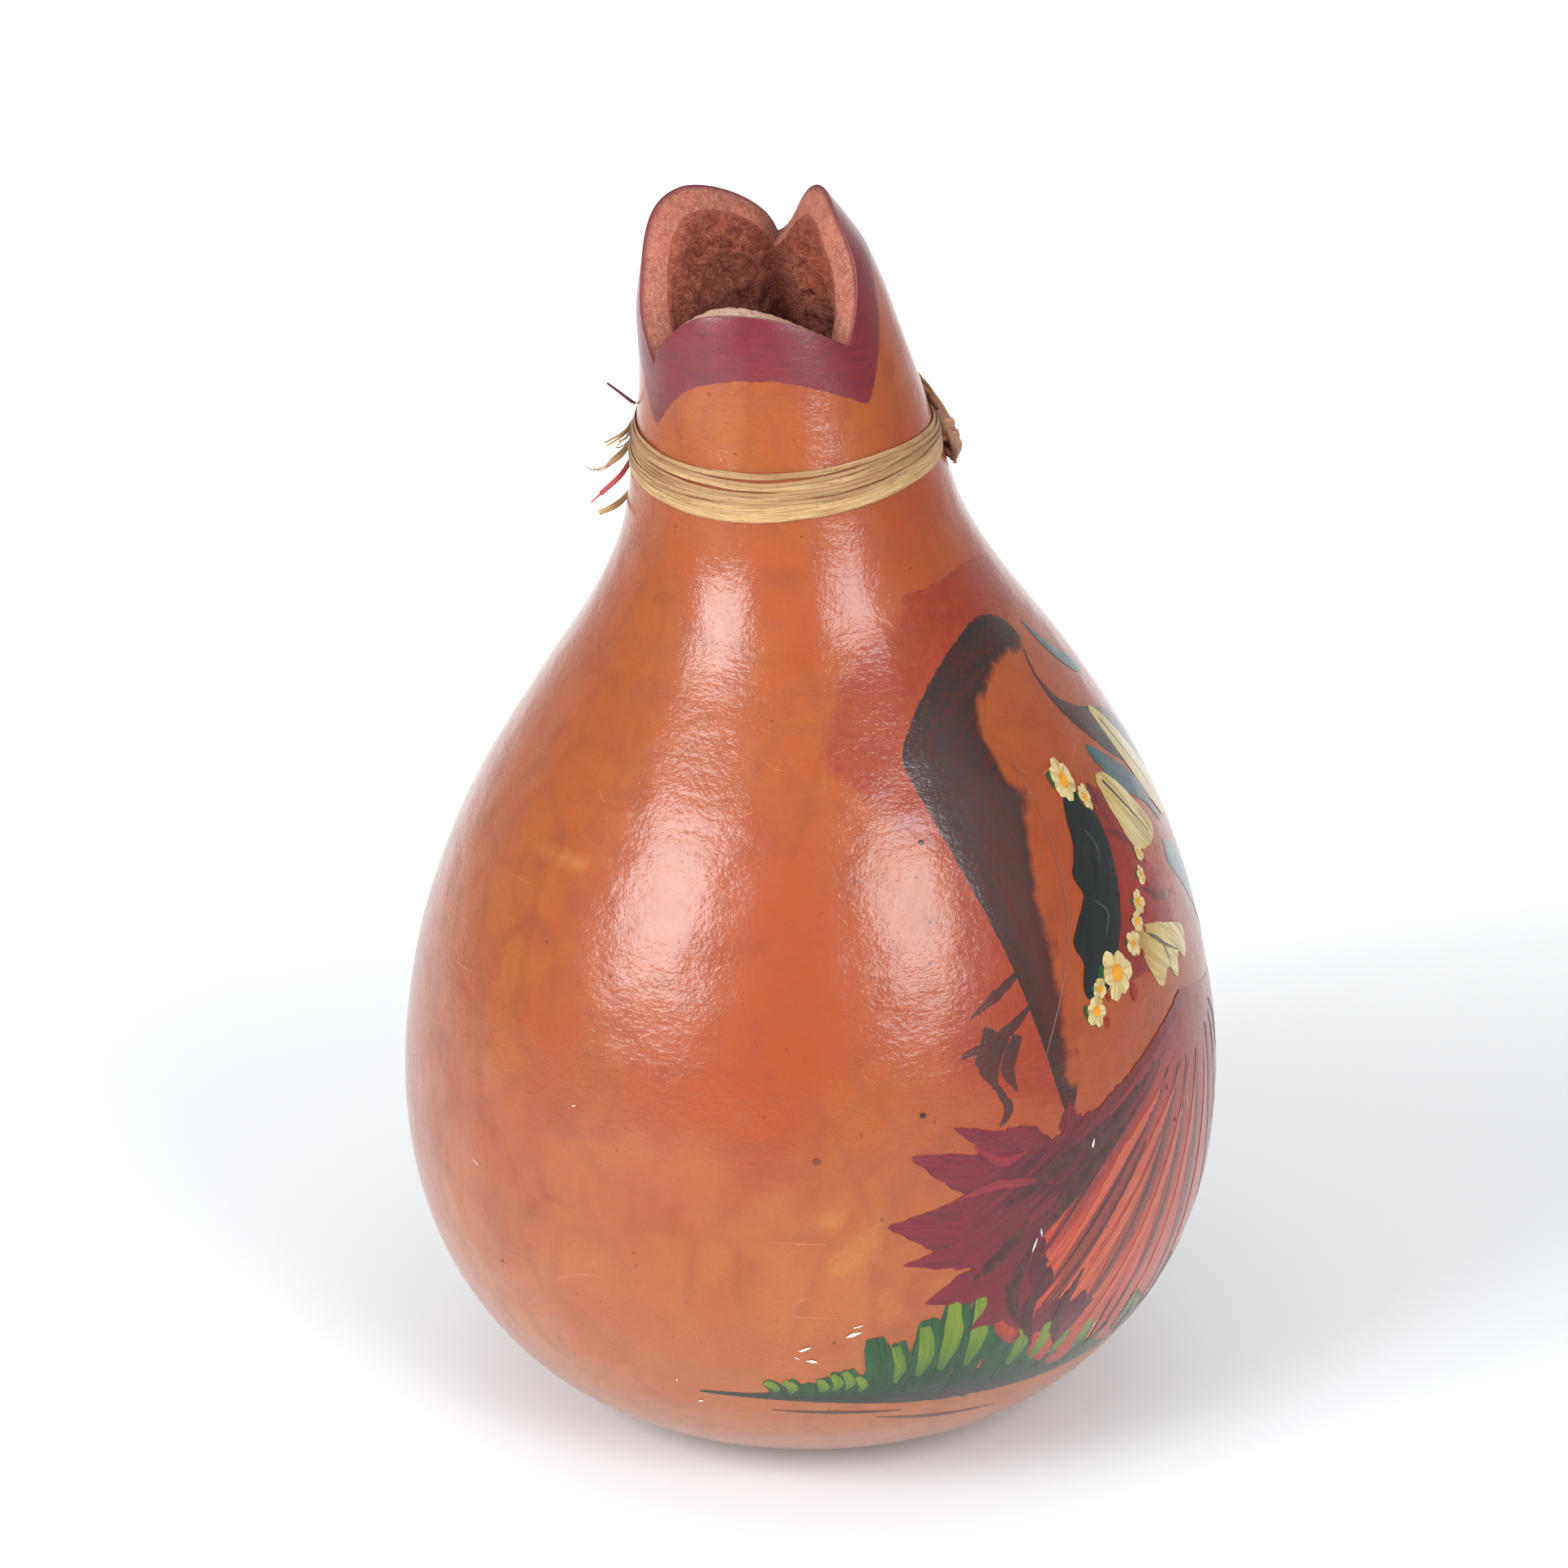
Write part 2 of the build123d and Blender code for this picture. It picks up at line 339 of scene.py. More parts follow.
# ======== the gourd ========
COLUMNS = 440  # round the mouth; the belly has half as many
SEAM = -44  # where the two kinds of row meet, under the tie, from the mouth's point
BELLY_ROW = 3.4  # millimetres between the belly's rows
BELLY_TOP = 246
MOUTH_ROWS = 46
CUT_ROWS = 14
FIRST_STEP, CUT_STEP, WIDEST_CUT = 0.6, 0.4, 14  # of the search for the cut's inner edge
CUT_BREAK = 0.45  # how sharply the cut's face ends there
STRAY_REACH = 3  # columns on each side that put a stray height or distance right
CUT_ROUNDING = 1.3  # how far the cut's inner edge falls away
CUT_GRAIN = 0.35  # how rough the cut's face is
SKIN_FACING, LEAST_REACH = 0.7, 12  # what tells the outside from the cut and the inside
EDGE_RANGE = (-15.0, 36.0)  # heights that hold the cut's outer edge
HALVINGS = 16  # of that range
FRONT = (-10, 45)  # the front petal's azimuth and half-width
RAY_TOP = 60  # above the mouth's point, where the rays down to the cut start
CUT_FACING = 0.2  # the cut's face looks up at least this much
PITH_ROWS = 54
PITH_THICKNESS = 6.2  # of the torn lining, at its thickest
PITH_SIDE = (-75, 38, 3.0)  # where it is thicker: azimuth, spread and how much
PITH_CROWDING = 1.25  # its rows are closer together near the cut
PITH_SPREAD = 0.3  # how fast the wall behind it widens below the cut
PITH_MARGIN = 14  # on steep edges it counts as at most this much nearer the cut
FUNNEL = 6.5  # the depth in which it reaches most of its thickness
LUMP_HEIGHT, TEAR_HEIGHT, CRUMB_HEIGHT = 2.4, 1.1, 0.32  # of its relief
PITH_FADE = 9  # the depth in which the relief grows from nothing
SEAM_END = 0.97  # the share of the way down at which it has thinned out
SEAM_TAPER = 6  # how sharply it thins there
NOTCH_BARENESS, NOTCH_REACH = 0.8, 11  # how bare the wall is beside a notch, and how far
SKIN_FACE, CUT_FACE, PITH_FACE = 0, 1, 2  # the gourd's materials, in their order
LUMPS = 0.22  # how far the rind's slow waves stand off the even form
SCAR = (5, 1.2)  # radius and depth of the blossom's dimple
SCAR_STOPS = (1.2, 2.4, 3.4, 4.3, 5.0, 6.2)  # rows round it
FIRST_STOP = 9  # where the even rows start, along the profile
EVEN_BELOW = 8  # the rind has no waves below this height, so that it stands flat


def column_azimuths():
    turns = [k * FULL_TURN / COLUMNS - 180 for k in range(COLUMNS)]
    for notch in NOTCHES:
        nearest = min(range(COLUMNS), key=lambda k: abs(turns[k] - notch))
        turns[nearest] = notch
    return np.array(turns)


AZIMUTHS = column_azimuths()


def is_skin(azimuth, height):
    """Whether the outside is still there at this place, not cut away."""
    out = radial(MOUTH_AXES, azimuth)
    axis_point = MOUTH + MOUTH_AXES[2] * height
    point, normal = cad_ray(axis_point + out * REACH, -out, REACH)
    if point is None or normal @ out < SKIN_FACING:
        return False
    return (point - axis_point) @ out > LEAST_REACH


def cut_edge(azimuth):
    """The height of the cut's outer edge at an azimuth."""
    low, high = EDGE_RANGE
    for _ in range(HALVINGS):
        middle = (low + high) / 2
        if is_skin(azimuth, middle):
            low = middle
        else:
            high = middle
    return low


def cut_height(azimuth, distance):
    """The height of the cut's face at a distance from the axis, or None beyond it."""
    above = mouth_point(azimuth, RAY_TOP, distance)
    point, normal = cad_ray(above, -MOUTH_AXES[2], 2 * RAY_TOP)
    if point is None or normal @ MOUTH_AXES[2] < CUT_FACING:
        return None
    return (point - MOUTH) @ MOUTH_AXES[2]


def inner_edge(azimuth, height, distance):
    """How far below and inside the outer edge the cut's inner edge is."""
    last, fall, reach = height, None, 0
    for step in np.arange(FIRST_STEP, WIDEST_CUT, CUT_STEP):
        found = cut_height(azimuth, distance - step)
        if found is None or (fall is not None and abs(last - found - fall) > CUT_BREAK):
            break
        fall = last - found if reach else None
        last, reach = found, step
    return height - last, reach


def without_strays(values):
    """A ring of numbers, each made the middle one of itself and its neighbours."""
    shifts = range(-STRAY_REACH, STRAY_REACH + 1)
    return np.median([np.roll(values, k) for k in shifts], axis=0)


def smooth_ring(values, passes, spared=()):
    """Evens out a ring of numbers, except at the spared columns."""
    values = np.array(values, float)
    for _ in range(passes):
        evened = (np.roll(values, 1) + 2 * values + np.roll(values, -1)) / 4
        evened[list(spared)] = values[list(spared)]
        values = evened
    return values


NOTCH_COLUMNS = [int(np.argmin(abs(AZIMUTHS - notch))) for notch in NOTCHES]
RIM_HEIGHT = smooth_ring([cut_edge(a) for a in AZIMUTHS], 1, NOTCH_COLUMNS)
RIM_DISTANCE = mouth_skin(AZIMUTHS, RIM_HEIGHT)
INNER = np.array([inner_edge(*edge) for edge in zip(AZIMUTHS, RIM_HEIGHT, RIM_DISTANCE)])
INNER_HEIGHT = RIM_HEIGHT - smooth_ring(without_strays(INNER[:, 0]), 4)
INNER_DISTANCE = RIM_DISTANCE - smooth_ring(without_strays(INNER[:, 1]), 8)
FRONT_PETAL = np.exp(-(((AZIMUTHS - FRONT[0]) / FRONT[1]) ** 2))
ROUNDING = CUT_ROUNDING * (1 - 0.75 * FRONT_PETAL)  # the front petal's cut is flatter


def rim_steepness():
    """How much nearer the cut is to each column's points than their depth says."""
    run = np.radians(np.gradient(AZIMUTHS)) * RIM_DISTANCE
    rise = (np.roll(RIM_HEIGHT, -1) - np.roll(RIM_HEIGHT, 1)) / 2
    return np.sqrt(1 + smooth_ring(abs(rise / run), 6) ** 2)


def notch_thinning():
    """How much of the lining's thickness is left beside each notch."""
    gap = np.min([abs((AZIMUTHS - notch + 180) % FULL_TURN - 180) for notch in NOTCHES], axis=0)
    return 1 - NOTCH_BARENESS * np.exp(-((gap / NOTCH_REACH) ** 2))


STEEPNESS = rim_steepness()
NOTCH_THINNING = notch_thinning()


def pith_roughness(point, depth):
    """How far the torn lining stands off the even wall at a depth below the cut."""
    along = (point - MOUTH) @ MOUTH_AXES[2]
    across = point - MOUTH_AXES[2] * along
    strings = Vector(across * 0.15 + MOUTH_AXES[2] * along * 0.2)
    lumps = noise.fractal(strings, 0.9, 2.1, 4)
    torn = noise.ridged_multi_fractal(strings * 1.9, 0.8, 2.2, 4, 1.0, 2.0)
    crumbs = noise.fractal(Vector(point) * 0.9, 0.6, 2.3, 3)
    reach = min(1.0, depth / PITH_FADE)
    edge = min(1.0, depth / 0.8 + 0.25)
    relief = reach * (LUMP_HEIGHT * lumps + TEAR_HEIGHT * (torn - 1.1))
    return relief + CRUMB_HEIGHT * crumbs * edge


def lumpy(points, normals):
    """The rind's slow waves, added along the normals."""
    waves = [
        noise.noise(Vector(p) * 0.026) + 0.35 * noise.noise(Vector(p) * 0.07 + Vector((9, 0, 0)))
        for p in points
    ]
    return points + normals * (LUMPS * np.array(waves))[:, None]


def outer_rows(coarse):
    """The rings of the underside and the belly, from the bottom to under the tie."""
    run = run_along(PROFILE)
    top = np.interp(BELLY_TOP, PROFILE[:, 0], run)
    even = np.linspace(FIRST_STOP, top, round((top - FIRST_STOP) / BELLY_ROW))
    rows = []
    for stop in (*SCAR_STOPS, *even):
        height, radius = (np.interp(stop, run, PROFILE[:, k]) for k in (0, 1))
        depth = SCAR[1] * max(0, 1 - (stop / SCAR[0]) ** 2)
        out = radial(axes(height), coarse)
        ring = centres(height) + out * radius + np.array([0, 0, depth])
        rows.append(lumpy(ring, out) if height > EVEN_BELOW else ring)
    return rows


def inner_rows(coarse):
    """The rings of the belly's and the underside's inside, from the seam down."""
    line = PROFILE[PROFILE[:, 0] <= BELLY_TOP + 10]
    slope = unit(np.gradient(line, axis=0))
    wall = line + np.stack([slope[:, 1], -slope[:, 0]], -1) * WALL
    rows = []
    for height, radius in wall[::-8]:
        if 2 < radius and height < BELLY_TOP - 2:
            rows.append(centres(height) + radial(axes(height), coarse) * radius)
    return rows


def neck_rows():
    """The rings of the outside from under the tie up to the cut."""
    for share in np.linspace(0, 1, MOUTH_ROWS):
        height = SEAM + (RIM_HEIGHT - SEAM) * share
        ring = mouth_point(AZIMUTHS, height, mouth_skin(AZIMUTHS, height))
        yield lumpy(ring, radial(MOUTH_AXES, AZIMUTHS))


def cut_rows():
    """The rings of the cut's face, from the outside in."""
    for share in np.linspace(0, 1, CUT_ROWS + 1)[1:]:
        height = RIM_HEIGHT + (INNER_HEIGHT - RIM_HEIGHT) * share
        distance = RIM_DISTANCE + (INNER_DISTANCE - RIM_DISTANCE) * share
        ring = mouth_point(AZIMUTHS, height, distance)
        lift = CUT_GRAIN * min(1, share * 4) * fractal(ring, 0.8, 2.2) - ROUNDING * share**4
        yield ring + MOUTH_AXES[2] * lift[:, None]


def pith_rows():
    """The rings of the torn lining, from the cut down to the seam."""
    side = PITH_SIDE[2] * np.exp(-(((AZIMUTHS - PITH_SIDE[0]) / PITH_SIDE[1]) ** 2))
    start = INNER_HEIGHT - ROUNDING
    for share in np.linspace(0, 1, PITH_ROWS + 1)[1:]:
        height = start + (SEAM - start) * share**PITH_CROWDING
        depth = INNER_HEIGHT - height
        spread = INNER_DISTANCE + PITH_SPREAD * depth
        wall = np.minimum(mouth_skin(AZIMUTHS, height) - WALL, spread)
        depth = np.maximum(depth / STEEPNESS, depth - PITH_MARGIN)
        thick = (PITH_THICKNESS + side) * (1 - np.exp(-depth / FUNNEL))
        thick *= np.clip((SEAM_END - share) * SEAM_TAPER, 0, 1) * NOTCH_THINNING
        ring = mouth_point(AZIMUTHS, height, wall - thick)
        rough = NOTCH_THINNING * [pith_roughness(p, d) for p, d in zip(ring, depth)]
        yield ring - radial(MOUTH_AXES, AZIMUTHS) * rough[:, None]


def gourd_rows():
    """Every ring of points, from the middle of the underside, up the outside, over the
    cut and down the inside, as (points, kind)."""
    coarse = AZIMUTHS[::2]
    return [
        *((ring, SKIN_FACE) for ring in (*outer_rows(coarse), *neck_rows())),
        *((ring, CUT_FACE) for ring in cut_rows()),
        *((ring, PITH_FACE) for ring in (*pith_rows(), *inner_rows(coarse))),
    ]


def bridge(faces, lower, upper):
    """Faces between two rings, given as (first index, count), equal or one to two."""
    (a, n), (b, m) = lower, upper
    for k in range(min(n, m)):
        nxt = (k + 1) % min(n, m)
        if n == m:
            faces.append((a + k, a + nxt, b + nxt, b + k))
        elif n < m:
            left, mid, right = b + 2 * k, b + 2 * k + 1, b + 2 * nxt
            faces.extend(((a + k, mid, left), (a + k, a + nxt, mid), (a + nxt, right, mid)))
        else:
            left, mid, right = a + 2 * k, a + 2 * k + 1, a + 2 * nxt
            faces.extend(((b + k, left, mid), (b + nxt, b + k, mid), (b + nxt, mid, right)))


def make_gourd():
    rows = gourd_rows()
    points, rings = [np.array([0, 0, SCAR[1]])], []
    for ring, _ in rows:
        rings.append((len(points), len(ring)))
        points.extend(ring)
    points.append(np.array([0, 0, WALL]))
    first, count = rings[0]
    faces = [(0, first + (k + 1) % count, first + k) for k in range(count)]
    kinds = [SKIN_FACE] * count
    for lower, upper, (_, kind) in zip(rings, rings[1:], rows[1:]):
        bridge(faces, lower, upper)
        kinds.extend([kind] * (len(faces) - len(kinds)))
    last, count = rings[-1]
    faces.extend((last + k, last + (k + 1) % count, len(points) - 1) for k in range(count))
    kinds.extend([PITH_FACE] * count)
    piece = new_piece("gourd_body", points, faces, "gourd_skin", ["gourd_shell"])
    piece.data.polygons.foreach_set("material_index", kinds)
    for material in (skin_material(), cut_material(), pith_material()):
        piece.data.materials.append(material)
    return piece


PEEL_DEPTH, FINE_DEPTH = 0.15, 0.05  # of the varnish's orange peel
BRUSH_DEPTH = 0.12  # of the marks that its brush left
SWELL_DEPTH = 0.42  # of the slow waves in the skin


def varnished(s, height, depth, coat=0.85):
    """Old brushed varnish, for a shader's surface; height and depth are the relief of
    what lies under it."""
    place = s.place()
    waves = s.bump(s.noise(place, 0.085, 1, 0.4), SWELL_DEPTH)
    fine = s.bump(s.noise(place, 1.3, 2, 0.5), FINE_DEPTH, under=waves)
    pebbled = s.bump(s.noise(place, 0.55, 3, 0.6), PEEL_DEPTH, under=fine)
    ripples = s.noise(s.place((0.16, 0.16, 0.6)), 1.0, 3, 0.6, 0.4)
    s.set(
        Normal=s.bump(height, depth, under=waves),
        Coat_Normal=s.bump(ripples, BRUSH_DEPTH, under=pebbled),
        Coat_Weight=coat,
        Coat_Roughness=s.ramp(s.noise(place, 0.3, 4, 0.6), 0.3, 0.75, 0.09, 0.17),
        Coat_IOR=1.38,
    )


def skin_colour(s):
    """The rind's colour at a place, for any shader that lies on it."""
    place = s.place()
    slow = s.noise(place, 0.017, 3, 0.55, 0.8)
    cloud = s.noise(place, 0.06, 4, 0.6, 1.2)
    veins = s.cracks(s.place((0.06, 0.06, 0.045)))
    grain = s.noise(s.place((0.9, 0.9, 2.6)), 1.0, 4, 0.7)
    colour = s.mix(s.ramp(slow, 0.32, 0.68), SKIN["orange"], SKIN["amber"])
    colour = s.over(colour, (cloud, 0.42, 0.78, 0.6, SKIN["brown"]))
    colour = s.mix(s.attribute("warmth"), colour, SKIN["red"])
    # lighter and more amber towards the bottom: painted floor bounce light
    colour = s.mix(s.attribute("low"), colour, SKIN["pale"])
    vein_share = s.times(s.ramp(veins, 0.0, 0.16, 0.16, 0.0), s.ramp(slow, 0.35, 0.6))
    colour = s.mix(vein_share, colour, SKIN["vein"])
    colour = s.mix(s.attribute("rub"), colour, SKIN["rubbed"])
    specks = s.noise(place, 0.55, 2, 0.4)
    return s.over(
        colour, (grain, 0.35, 0.75, 0.35, SKIN["brown"]), (specks, 0.74, 0.78, 0.55, SKIN["speck"])
    )


def skin_material():
    s = Shader("gourd_skin")
    cloud = s.noise(s.place(), 0.06, 4, 0.6, 1.2)
    grain = s.noise(s.place((0.9, 0.9, 2.6)), 1.0, 4, 0.7)
    roughness = s.ramp(cloud, 0.3, 0.8, 0.38, 0.55)
    s.set(Base_Color=skin_colour(s), Roughness=roughness, Specular_IOR_Level=0.25)
    varnished(s, grain, 0.03)
    return s.material


def cut_colour(s, grain):
    """The stained rind where it was cut, for the cut's face and the lining beside it."""
    blotch = s.noise(s.place(), 0.11, 4, 0.65, 1.0)
    colour = s.mix(s.ramp(blotch, 0.35, 0.65), srgb(140, 48, 36), srgb(174, 80, 56))
    return s.over(colour, (grain, 0.44, 0.66, 0.8, srgb(184, 112, 86)))


def cut_material():
    s = Shader("cut_rind")
    place = s.place()
    grain = s.noise(s.place((1.1, 1.1, 0.5)), 1.0, 5, 0.7)
    dust = s.noise(place, 2.2, 3, 0.8)
    powder = s.times(s.attribute("dusty"), s.ramp(s.noise(place, 0.5, 5, 0.75), 0.3, 0.5))
    colour = s.over(
        s.mix(powder, cut_colour(s, grain), srgb(206, 170, 146)),
        (dust, 0.57, 0.68, 0.7, srgb(214, 186, 158)),
        (dust, 0.42, 0.34, 0.5, srgb(112, 36, 30)),
    )
    colour = s.mix(s.attribute("near_skin"), colour, srgb(104, 32, 46))
    relief = s.bump(s.math("ADD", grain, dust), 0.45, 0.9)
    s.set(Base_Color=colour, Roughness=0.85, Normal=relief)
    return s.material


def pith_material():
    s = Shader("torn_pith")
    place = s.place()
    fibres = s.noise(s.place((0.55, 0.55, 1.3)), 1.0, 6, 0.72, 1.2)
    lumps = s.noise(place, 0.14, 4, 0.6, 1.0)
    crumbs = s.noise(place, 1.6, 3, 0.8)
    colour = s.over(
        s.mix(s.ramp(lumps, 0.32, 0.62), srgb(148, 50, 38), srgb(190, 90, 62)),
        (fibres, 0.42, 0.62, 0.85, srgb(208, 130, 98)),
        (fibres, 0.44, 0.34, 0.7, srgb(92, 28, 20)),
    )
    colour = s.mix(s.attribute("glow"), colour, srgb(212, 92, 34))
    colour = s.mix(s.attribute("near_cut"), colour, cut_colour(s, fibres))
    colour = s.over(colour, (crumbs, 0.6, 0.7, 0.6, srgb(206, 168, 128)))
    # darker deeper down inside the mouth: painted shade
    colour = s.mix(s.attribute("depth"), colour, srgb(52, 18, 16))
    relief = s.bump(s.math("ADD", fibres, crumbs), 1.1, 1.0)
    s.set(Base_Color=colour, Roughness=0.9, Normal=relief)
    return s.material


SKIN = {
    "orange": srgb(150, 65, 27),
    "amber": srgb(154, 78, 30),
    "brown": srgb(132, 54, 26),
    "red": srgb(148, 52, 28),
    # the colour of the painted floor bounce light low on the belly
    "pale": srgb(172, 100, 52),
    "vein": srgb(98, 41, 23),
    "rubbed": srgb(176, 112, 52),
    "speck": srgb(70, 28, 18),
}
RUBS = (  # azimuth, height and half-sizes of the rubbed spots
    (5, 97, 3.2, 2.2), (7, 92, 2.2, 5), (6, 86, 2.4, 2.2), (13, 79, 1.6, 3), (16, 80, 1.6, 4),
    (-38, 176, 12, 1.6),
)
PATCHY = 0.05  # the rate of the noise that breaks up the rubbed spots and the glow


def spot(azimuth, height, where):
    """1 in the middle of a soft oval, given as azimuth, height and half-sizes, to 0."""
    centre, level, wide, tall = where
    away = np.hypot((azimuth - centre) / wide, (height - level) / tall)
    return 1 / (1 + np.exp(np.clip((away - 1) * 7, -40, 40)))


def places_of(piece):
    """A piece's points, and their azimuths and heights along the centreline."""
    points = points_of(piece.data)
    height = heights_of(points)
    away = points - centres(height)
    across, back, _ = axes(height)
    azimuth = np.degrees(np.arctan2((away * across).sum(-1), -(away * back).sum(-1)))
    return points, azimuth, height


def dress_skin(piece):
    """Writes what the rind's colour needs to know about each point."""
    points, azimuth, height = places_of(piece)
    jitter = fractal(points, PATCHY)
    rub = np.max([spot(azimuth + 3 * jitter, height + 3 * jitter, w) for w in RUBS], axis=0)
    painted_side = np.clip((azimuth + 25) / 110, 0, 1) * np.clip((150 - azimuth) / 60, 0, 1)
    set_values(
        piece,
        rub=0.55 * rub * np.clip(0.6 + 2 * jitter, 0, 1),
        warmth=0.32 * painted_side,
        # low: how much painted floor bounce light lightens the skin, more towards the bottom
        low=0.85 * np.clip((115 + 30 * jitter - height) / 90, 0, 1),
    )


def dress_mouth(piece):
    """Writes what the cut's and the lining's colours need to know about each point."""
    points = points_of(piece.data)
    mouth = points - MOUTH
    level = mouth @ MOUTH_AXES[2]
    turn = np.degrees(np.arctan2(mouth @ MOUTH_AXES[0], -(mouth @ MOUTH_AXES[1])))
    edge, inner, rim = (
        np.interp(turn, AZIMUTHS, ring) for ring in (RIM_HEIGHT, INNER_HEIGHT, RIM_DISTANCE)
    )
    below = inner - level
    lit_side = np.exp(-(((turn - 100) / 40) ** 2)) * np.clip(below / 8, 0, 1)
    front = np.exp(-(((turn + 10) / 34) ** 2))
    reach = np.linalg.norm(mouth - np.outer(level, MOUTH_AXES[2]), axis=-1)
    beside_skin = np.clip(1.3 - (rim - reach) / 1.1, 0, 1) * (abs(level - edge) < 3)
    set_values(
        piece,
        # depth: how much painted shade there is, growing deeper down inside the mouth
        depth=np.clip((below - 11) / 44, 0, 1) ** 0.9 * 0.9,
        near_cut=np.clip(1 - below / 10, 0, 1),
        glow=0.5 * lit_side * np.clip(0.6 + 1.5 * fractal(points, PATCHY), 0, 1),
        dusty=0.15 + 0.8 * front,
        near_skin=0.85 * beside_skin,
    )


# ======== the painted lip ========
LIP_DEPTH = 16  # how far the maroon border reaches down from the cut
LIP_ROWS = 16
LIP_STAND = 0.09
LIP_TOP = 0.992  # one more row close under the cut keeps its edge crisp
LIP_WEAR = 0.3  # of the paint along the cut
LIP_WOBBLE = 0.45  # how unevenly its lower edge is painted


def lip_material():
    s = Shader("lip_paint")
    cloud = s.noise(s.place(), 0.09, 4, 0.6, 0.8)
    brush = s.noise(s.place((0.12, 0.12, 0.6)), 1.0, 4, 0.6, 0.5)
    scuffs = s.noise(s.place((0.5, 0.5, 0.9)), 1.0, 5, 0.8)
    colour = s.over(
        s.mix(s.ramp(cloud, 0.3, 0.7), srgb(104, 14, 30), srgb(112, 24, 28)),
        (brush, 0.4, 0.75, 0.7, srgb(84, 10, 30)),
        (scuffs, 0.66, 0.8, 0.5, srgb(116, 48, 40)),
    )
    s.set(Base_Color=s.mix(s.attribute("wear"), colour, srgb(128, 66, 56)), Roughness=0.4)
    varnished(s, brush, 0.05, coat=0.5)
    return s.material


def make_lip():
    rates = ((0.13, 5, 0, 1.0), (0.4, 1, 3, 0.5))
    wobble = sum(
        share * np.array([noise.noise(Vector((a * rate, y, z))) for a in AZIMUTHS])
        for rate, y, z, share in rates
    )
    bottom = smooth_ring(RIM_HEIGHT, 12) - LIP_DEPTH + LIP_WOBBLE * wobble
    out = radial(MOUTH_AXES, AZIMUTHS)
    rows = []
    for k, share in enumerate([*np.linspace(0, 1, LIP_ROWS)[:-1], LIP_TOP, 1]):
        height = bottom + (RIM_HEIGHT - bottom) * share
        ring = lumpy(mouth_point(AZIMUTHS, height, mouth_skin(AZIMUTHS, height)), out)
        rows.append(ring + out * (LIP_STAND if k else 0.01))
    rows.append(mouth_point(AZIMUTHS, RIM_HEIGHT, RIM_DISTANCE - 0.1))
    faces = []
    for k in range(len(rows) - 1):
        bridge(faces, (k * COLUMNS, COLUMNS), ((k + 1) * COLUMNS, COLUMNS))
    piece = new_piece("lip_border", np.concatenate(rows), faces, "rim_paint")
    worn = np.arange(len(rows)) >= LIP_ROWS
    set_values(piece, wear=LIP_WEAR * np.repeat(worn, COLUMNS))
    piece.data.materials.append(lip_material())


# ======== the raffia tie ========
# (azimuth, bottom, top) of the whole tie, as heights along the neck's centreline
TIE_STATIONS = (
    (-180, 262.3, 273.6), (-140, 262.8, 275.4), (-105, 262.9, 276.2), (-72, 262.2, 275.6),
    (-47, 261.2, 273.8), (-8, 259.4, 271.3), (22, 258.6, 270.3), (50, 259.4, 270.1),
    (79, 259.4, 267.6), (97, 259.2, 266.4), (125, 260.0, 268.0), (155, 261.4, 271.2),
)
# each strand from the lowest up: width, layer and tone, from dark to pale
WRAPS = (
    (4.6, 0, 0.95), (1.1, 1, 0.25), (1.9, 0, 0.6), (1.0, 1, 0.05), (2.0, 0, 0.7), (1.1, 1, 0.15),
    (1.5, 0, 0.4),
)
WRAP_POINTS = 320
WRAP_THICKNESS = 0.5
ROOMY_TIE = 13.5  # where the tie is this tall, crossed strands needn't stand further off
SECTION_POINTS = 30
SECTION_SQUARENESS = 0.75  # 1 is an oval section
STRIP_LAYERS = ("points", "across", "along", "rim")
# each free end: stations (azimuth, height, distance from the neck) and its width at each
FREE_ENDS = {
    "raffia_wrap_1": (
        (((-122, 262, 0.6), (-112, 252.0, 0.3), (-99, 250.8, 0.3), (-90, 250.6, 2.8),
          (-88, 249.6, 6.8)), (1.3, 1.4, 1.5, 1.7, 1.3)),
    ),
    "raffia_wrap_4": (
        (((-112, 267, 0.9), (-99, 265.4, 1.2), (-92, 264.6, 2.4), (-90, 263.4, 4.4),
          (-90, 261.8, 6.4)), (1.0, 1.2, 1.7, 1.6, 0.4)),
        (((-90.5, 262.2, 5.4), (-90, 261.5, 7.4), (-90, 261.2, 9.6), (-90, 262.4, 11.4)),
         (0.4, 0.34, 0.3, 0.22)),
        (((-90.5, 262.0, 5.0), (-90, 261.0, 7.0), (-90, 261.2, 8.8), (-90, 262.2, 9.8)),
         (0.4, 0.3, 0.28, 0.2)),
    ),
    "raffia_wrap_5": (
        (((-108, 271, 1.0), (-97, 270.6, 1.2), (-91, 269.8, 2.6), (-90, 267.6, 6.6)),
         (0.7, 0.8, 0.7, 0.5)),
        (((-91, 268.4, 2.8), (-90, 266.8, 4.0), (-92, 266.4, 2.6), (-96, 266.8, 1.0)),
         (0.34, 0.32, 0.3, 0.3)),
    ),
    "raffia_wrap_6": (
        (((-108, 272, 1.0), (-97, 271.4, 1.2), (-91, 270.6, 2.8), (-90, 268.4, 7.2)),
         (0.7, 0.8, 0.65, 0.45)),
        (((-98, 269.6, 1.0), (-91, 269.0, 1.8), (-90, 268.4, 3.6)), (0.6, 0.6, 0.5)),
    ),
}
